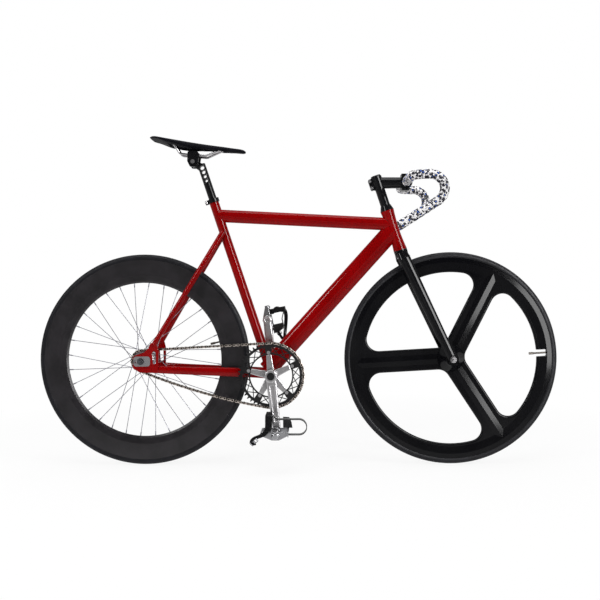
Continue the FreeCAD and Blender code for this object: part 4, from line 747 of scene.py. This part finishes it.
def add_tape():
    made = Shape()
    for side in (-1.0, 1.0):
        rings = []
        aside = UP
        for distance, place, way in bar_line(side):
            aside = (aside - way * aside.dot(way)).normalized()
            other = way.cross(aside)
            ring = []
            for step in range(TAPE_SIDES):
                share = step / TAPE_SIDES
                wound = (distance / TAPE_PITCH - side * share) % 1.0
                lap = wound ** LAP_CURVE if wound < LAP_EDGE else (1.0 - wound) / (1.0 - LAP_EDGE)
                radius = TAPE_RADIUS + TAPE_LAP * lap
                turn = 2 * math.pi * share
                ring.append(place + (aside * math.cos(turn) + other * math.sin(turn)) * radius)
            rings.append(ring)
        made.loops(rings)
    add_piece("wound_bar_tape", made.verts, made.faces, "spotted_tape", "handlebar", ["bar_tape"],
              SOFT_SMOOTH)


add_tape()

# Saddle and seat post: the CAD forms with their corners drawn smooth, the saddle as a cover stretched over
# thin padding and the post as one forging

SADDLE_SWELL = 0.0015
SADDLE_GRID = 0.0016
SADDLE_PASSES = 3
POST_GRID = 0.0014
POST_PASSES = 10
EASE = 0.5


def drawn_smooth(node_name, grid, passes, swell=0.0):
    """Points and faces of a CAD node's form on an even grid, with its corners eased and its skin let out."""
    work = bpy.data.objects.new(node_name + "_form", NODES[node_name].data.copy())
    bpy.context.scene.collection.objects.link(work)
    remesh = work.modifiers.new("even_grid", "REMESH")
    remesh.mode = "VOXEL"
    remesh.voxel_size = grid
    smooth = work.modifiers.new("eased", "SMOOTH")
    smooth.factor = EASE
    smooth.iterations = passes
    bpy.context.view_layer.update()
    formed = work.evaluated_get(bpy.context.evaluated_depsgraph_get())
    mesh = formed.to_mesh()
    verts = [vert.co + vert.normal * swell for vert in mesh.vertices]
    faces = [tuple(face.vertices) for face in mesh.polygons]
    formed.to_mesh_clear()
    bpy.data.objects.remove(work)
    return verts, faces


saddle_form = drawn_smooth("saddle", SADDLE_GRID, SADDLE_PASSES, SADDLE_SWELL)
saddle_cover = add_piece("saddle_cover", *saddle_form, "saddle_cover", "saddle", ["saddle"], SOFT_SMOOTH)
post_form = drawn_smooth("seat_post", POST_GRID, POST_PASSES)
add_piece("bent_seat_post", *post_form, SLOT_OF["seat_post"], "seat_post", ["seat_post"], SOFT_SMOOTH)

# Toe straps: webbing laced round the pedal cage, with a loose end that hangs through a buckle.
# Places are in metres from the pedal's axle: ahead of it, outward and up.

STRAP_WIDTH = 0.016
STRAP_SHEET = 0.0025
STRAP_MIDDLE = -0.022
STRAP_LOW = (0.078, 0.01202)
STRAP_HIGH = (0.164, 0.06302)
STRAP_BEND = 0.012
BEND_STEPS = 6
RUN_STEPS = 8
BAND_SECTION = ((-1, -0.3), (-0.9, -1), (0.9, -1), (1, -0.3), (1, 0.3), (0.9, 1), (-0.9, 1), (-1, 0.3))
STRAP_SMOOTH = 50.0
BUCKLE_WIRE = 0.0022
BUCKLE_SIDES = 8
BUCKLE_ROLLER = ((0.0, 1.0), (0.2, 1.5), (0.8, 1.5), (1.0, 1.0))
BUCKLE_Y = 0.1685
TAIL_Y = 0.16525
LEFT_PEDAL_TURN = math.radians(78.0)
LEFT_SAG = 0.006


def band_ring(place, side, face, width):
    """One section of a strap: side points along its width and face out of it."""
    return [place + side * (a * width / 2) + face * (b * STRAP_SHEET / 2) for a, b in BAND_SECTION]


def strap_loop(sag):
    """Rings round the cage; the side next to the crank sags a little under its own weight."""
    inset = STRAP_SHEET / 2
    low = (STRAP_LOW[0] + inset, STRAP_LOW[1] + inset)
    high = (STRAP_HIGH[0] - inset, STRAP_HIGH[1] - inset)
    bend = STRAP_BEND - inset
    corners = ((high[0], high[1], 0.0), (low[0], high[1], 0.5), (low[0], low[1], 1.0), (high[0], low[1], 1.5))
    rings = []
    for place, (y, z, start) in enumerate(corners):
        hub_y = y - bend if y == high[0] else y + bend
        hub_z = z - bend if z == high[1] else z + bend
        stations = []
        for step in range(BEND_STEPS + 1):
            turn = math.pi * (start + 0.5 * step / BEND_STEPS)
            stations.append((hub_y + bend * math.cos(turn), hub_z + bend * math.sin(turn), turn, 0.0))
        if place == 1:
            length = (high[1] - low[1]) - 2 * bend
            for step in range(1, RUN_STEPS):
                share = step / RUN_STEPS
                stations.append((low[0], hub_z - length * share, math.pi, sag * math.sin(math.pi * share)))
        for ring_y, ring_z, turn, drop in stations:
            face = Vector((0.0, math.cos(turn), math.sin(turn)))
            rings.append(band_ring(Vector((STRAP_MIDDLE - drop, ring_y, ring_z)), AHEAD, face, STRAP_WIDTH))
    return rings


def tail_rings(line):
    """Rings of the loose end from (ahead, up, outward, width) points, drawn as a smooth curve."""
    dense = []
    for place in range(len(line) - 1):
        before = Vector(line[max(place - 1, 0)])
        start = Vector(line[place])
        end = Vector(line[place + 1])
        after = Vector(line[min(place + 2, len(line) - 1)])
        for step in range(RUN_STEPS):
            t = step / RUN_STEPS
            smooth = (2 * start + (end - before) * t + (2 * before - 5 * start + 4 * end - after) * t ** 2
                      + (3 * start - before - 3 * end + after) * t ** 3) / 2
            dense.append(smooth)
    dense.append(Vector(line[-1]))
    rings = []
    for place, (x, z, y, width) in enumerate(dense):
        here = Vector((x, y, z))
        ahead = dense[min(place + 1, len(dense) - 1)]
        behind = dense[max(place - 1, 0)]
        way = Vector((ahead[0] - behind[0], 0.0, ahead[1] - behind[1])).normalized()
        rings.append(band_ring(here, way.cross(ACROSS), ACROSS, width))
    return rings


def buckle_shape(corners):
    """A wire frame through its corners (ahead, up) and a roller across its middle."""
    made = Shape()
    places = [Vector((x, BUCKLE_Y, z)) for x, z in corners]
    middle = sum(places, Vector()) / len(places)
    frame_rings = []
    for place in places:
        frame_rings.append(circle(place, (place - middle).normalized(), ACROSS, BUCKLE_WIRE, BUCKLE_SIDES))
    made.loops(frame_rings, closed=True)
    start = (places[0] + places[3]) / 2
    end = (places[1] + places[2]) / 2
    side = (end - start).normalized().cross(ACROSS)
    roller_rings = []
    for share, size in BUCKLE_ROLLER:
        roller_rings.append(circle(start.lerp(end, share), side, ACROSS, BUCKLE_WIRE * size, BUCKLE_SIDES))
    made.loops(roller_rings)
    return made


RIGHT_TAIL = [
    (-0.022, 0.050, TAIL_Y, 0.016), (-0.022, 0.036, TAIL_Y, 0.016), (-0.024, 0.022, TAIL_Y, 0.0155),
    (-0.033, 0.009, TAIL_Y, 0.0135), (-0.048, 0.001, TAIL_Y, 0.011), (-0.062, -0.004, TAIL_Y, 0.0095),
    (-0.071, -0.012, TAIL_Y, 0.009), (-0.070, -0.021, TAIL_Y, 0.009), (-0.058, -0.020, TAIL_Y, 0.009),
]
LEFT_TAIL = [
    (-0.022, 0.046, TAIL_Y, 0.016), (-0.016, 0.057, TAIL_Y, 0.014), (0.002, 0.0585, TAIL_Y, 0.0125),
    (0.028, 0.052, TAIL_Y, 0.012), (0.054, 0.044, TAIL_Y, 0.011), (0.071, 0.038, TAIL_Y, 0.010),
    (0.076, 0.031, TAIL_Y, 0.009), (0.066, 0.026, TAIL_Y, 0.009), (0.048, 0.0205, TAIL_Y, 0.010),
    (0.032, 0.015, TAIL_Y, 0.010),
]
RIGHT_BUCKLE = [(-0.057, -0.004), (-0.052, -0.012), (-0.067, -0.026), (-0.075, -0.018)]
LEFT_BUCKLE = [(0.0324, 0.0225), (0.0568, 0.0313), (0.0616, 0.0181), (0.0372, 0.0093)]


def add_strap(side, turn, flip, sag, tail, corners):
    """One strap and its buckle; turn is the pedal's and flip is -1 where outward is to the right."""
    hub = JOINT_PLACE[side + "_pedal_spin"]
    place = Matrix.Translation((hub.x, 0.0, hub.z)) @ Matrix.Rotation(turn, 4, "Y")
    place = place @ Matrix.Diagonal((1.0, flip, 1.0, 1.0))
    webbing_shape = Shape()
    webbing_shape.loops(strap_loop(sag), closed=True)
    webbing_shape.loops(tail_rings(tail))
    verts = [place @ vert for vert in webbing_shape.verts]
    body = side + "_pedal"
    add_piece(side + "_strap_webbing", verts, webbing_shape.faces, "strap", body, [side + "_toe_strap"],
              STRAP_SMOOTH)
    metal = buckle_shape(corners)
    verts = [place @ vert for vert in metal.verts]
    add_piece(side + "_strap_buckle", verts, metal.faces, "steel", body, [], material=DARK_STEEL)


add_strap("right", turn=0.0, flip=-1.0, sag=0.0, tail=RIGHT_TAIL, corners=RIGHT_BUCKLE)
add_strap("left", turn=LEFT_PEDAL_TURN, flip=1.0, sag=LEFT_SAG, tail=LEFT_TAIL, corners=LEFT_BUCKLE)


# Camera

def add_camera():
    ahead = Vector((math.sin(PAN) * math.cos(TILT), math.cos(PAN) * math.cos(TILT), math.sin(TILT)))
    right = Vector((math.cos(PAN), -math.sin(PAN), 0.0))
    up = right.cross(ahead)
    rolled_right = right * math.cos(ROLL) + up * math.sin(ROLL)
    rolled_up = up * math.cos(ROLL) - right * math.sin(ROLL)
    turn = Matrix((rolled_right, rolled_up, -ahead)).transposed().to_4x4()
    data = bpy.data.cameras.new("camera")
    data.sensor_width = SENSOR_WIDTH
    data.lens = FOCAL_PIXELS * SENSOR_WIDTH / IMAGE_SIZE
    camera = bpy.data.objects.new("camera", data)
    camera.matrix_world = Matrix.Translation(CAMERA_PLACE) @ turn
    bpy.context.scene.collection.objects.link(camera)
    bpy.context.scene.camera = camera


add_camera()


# Stage and light

FLOOR_HALF = 30.0
FLOOR_GREY = 0.85
FLOOR_DIM = 0.3
FLOOR_FADE = (-1.4, -0.3)
FLOOR_FAR = 0.45
FLOOR_RISE = (-4.0, -2.2)
SHADOW_LIGHTENING = 0.86
SHADOW_REACH = (0.8, 1.7)
ROOM_LEVELS = (0.08, 0.9)
ROOM_EDGE = (-0.15, 0.35)
BIKE_MIDDLE = (0.0, 0.0, 0.5)


def whiteness(tree):
    """How far the floor is plain white and how bright that white is.

    The camera sees white with the shadow close to the wheels, and further out the floor meets the backdrop.
    Mirrors see white round the object, a dim stretch on the camera's side and a bright floor far off.
    """
    path = tree.nodes.new("ShaderNodeLightPath")
    parts = tree.nodes.new("ShaderNodeSeparateXYZ")
    tree.links.new(object_coords(tree), parts.inputs["Vector"])
    near = spread(tree, parts.outputs["Y"], FLOOR_DIM, 1.0, *FLOOR_FADE)
    far = spread(tree, parts.outputs["Y"], FLOOR_FAR, 0.0, *FLOOR_RISE)
    behind = math_node(tree, "MAXIMUM", near, far)
    mirrored = math_node(tree, "MAXIMUM", path.outputs["Is Glossy Ray"], path.outputs["Is Transmission Ray"])
    length = tree.nodes.new("ShaderNodeVectorMath")
    length.operation = "LENGTH"
    tree.links.new(object_coords(tree), length.inputs[0])
    away = spread(tree, length.outputs["Value"], SHADOW_LIGHTENING, 1.0, *SHADOW_REACH)
    direct = math_node(tree, "MULTIPLY", path.outputs["Is Camera Ray"], away)
    level = math_node(tree, "MAXIMUM", path.outputs["Is Camera Ray"], behind)
    return math_node(tree, "MAXIMUM", direct, mirrored), level


def add_floor():
    mesh = bpy.data.meshes.new("floor")
    corners = [(-1, -1), (1, -1), (1, 1), (-1, 1)]
    mesh.from_pydata([(x * FLOOR_HALF, y * FLOOR_HALF, 0.0) for x, y in corners], [], [(0, 1, 2, 3)])
    floor = bpy.data.objects.new("floor", mesh)
    bpy.context.scene.collection.objects.link(floor)
    made = bpy.data.materials.new("pale_floor")
    made.use_nodes = True
    tree = made.node_tree
    tree.nodes.clear()
    output = tree.nodes.new("ShaderNodeOutputMaterial")
    pale = tree.nodes.new("ShaderNodeBsdfDiffuse")
    pale.inputs["Color"].default_value = (FLOOR_GREY, FLOOR_GREY, FLOOR_GREY, 1.0)
    white = tree.nodes.new("ShaderNodeEmission")
    mixed = tree.nodes.new("ShaderNodeMixShader")
    share, level = whiteness(tree)
    tree.links.new(level, white.inputs["Strength"])
    tree.links.new(share, mixed.inputs["Fac"])
    tree.links.new(pale.outputs["BSDF"], mixed.inputs[1])
    tree.links.new(white.outputs["Emission"], mixed.inputs[2])
    tree.links.new(mixed.outputs["Shader"], output.inputs["Surface"])
    mesh.materials.append(made)


def light_world():
    """White where the camera looks; the room behind the camera is dim, as a studio is."""
    world = bpy.data.worlds.new("studio")
    bpy.context.scene.world = world
    world.use_nodes = True
    tree = world.node_tree
    tree.nodes.clear()
    output = tree.nodes.new("ShaderNodeOutputWorld")
    room = tree.nodes.new("ShaderNodeBackground")
    white = tree.nodes.new("ShaderNodeBackground")
    white.inputs["Color"].default_value = (1.0, 1.0, 1.0, 1.0)
    coords = tree.nodes.new("ShaderNodeTexCoord")
    parts = tree.nodes.new("ShaderNodeSeparateXYZ")
    tree.links.new(coords.outputs["Generated"], parts.inputs["Vector"])
    level = spread(tree, parts.outputs["Y"], *ROOM_LEVELS, *ROOM_EDGE)
    tree.links.new(level, room.inputs["Strength"])
    path = tree.nodes.new("ShaderNodeLightPath")
    mixed = tree.nodes.new("ShaderNodeMixShader")
    tree.links.new(path.outputs["Is Camera Ray"], mixed.inputs["Fac"])
    tree.links.new(room.outputs["Background"], mixed.inputs[1])
    tree.links.new(white.outputs["Background"], mixed.inputs[2])
    tree.links.new(mixed.outputs["Shader"], output.inputs["Surface"])


def add_softbox(name, place, size, power, only_shine=False):
    """A lamp aimed at the bike; only_shine leaves out its diffuse light and keeps its highlights."""
    data = bpy.data.lights.new(name, "AREA")
    data.shape = "RECTANGLE"
    data.size, data.size_y = size
    data.energy = power
    lamp = bpy.data.objects.new(name, data)
    lamp.location = place
    lamp.rotation_euler = (Vector(BIKE_MIDDLE) - Vector(place)).to_track_quat("-Z", "Y").to_euler()
    lamp.visible_diffuse = not only_shine
    bpy.context.scene.collection.objects.link(lamp)


add_floor()
light_world()
add_softbox("overhead", place=(0.0, -0.4, 2.9), size=(3.2, 1.6), power=60.0)
add_softbox("left_front", place=(-2.4, -2.2, 1.9), size=(0.45, 1.8), power=40.0)
add_softbox("right_front", place=(2.6, -2.0, 1.6), size=(0.45, 1.8), power=34.0)
add_softbox("right_strip", place=(1.8, -2.1, 1.0), size=(0.8, 2.0), power=90.0, only_shine=True)

bpy.context.scene.view_settings.view_transform = "Standard"
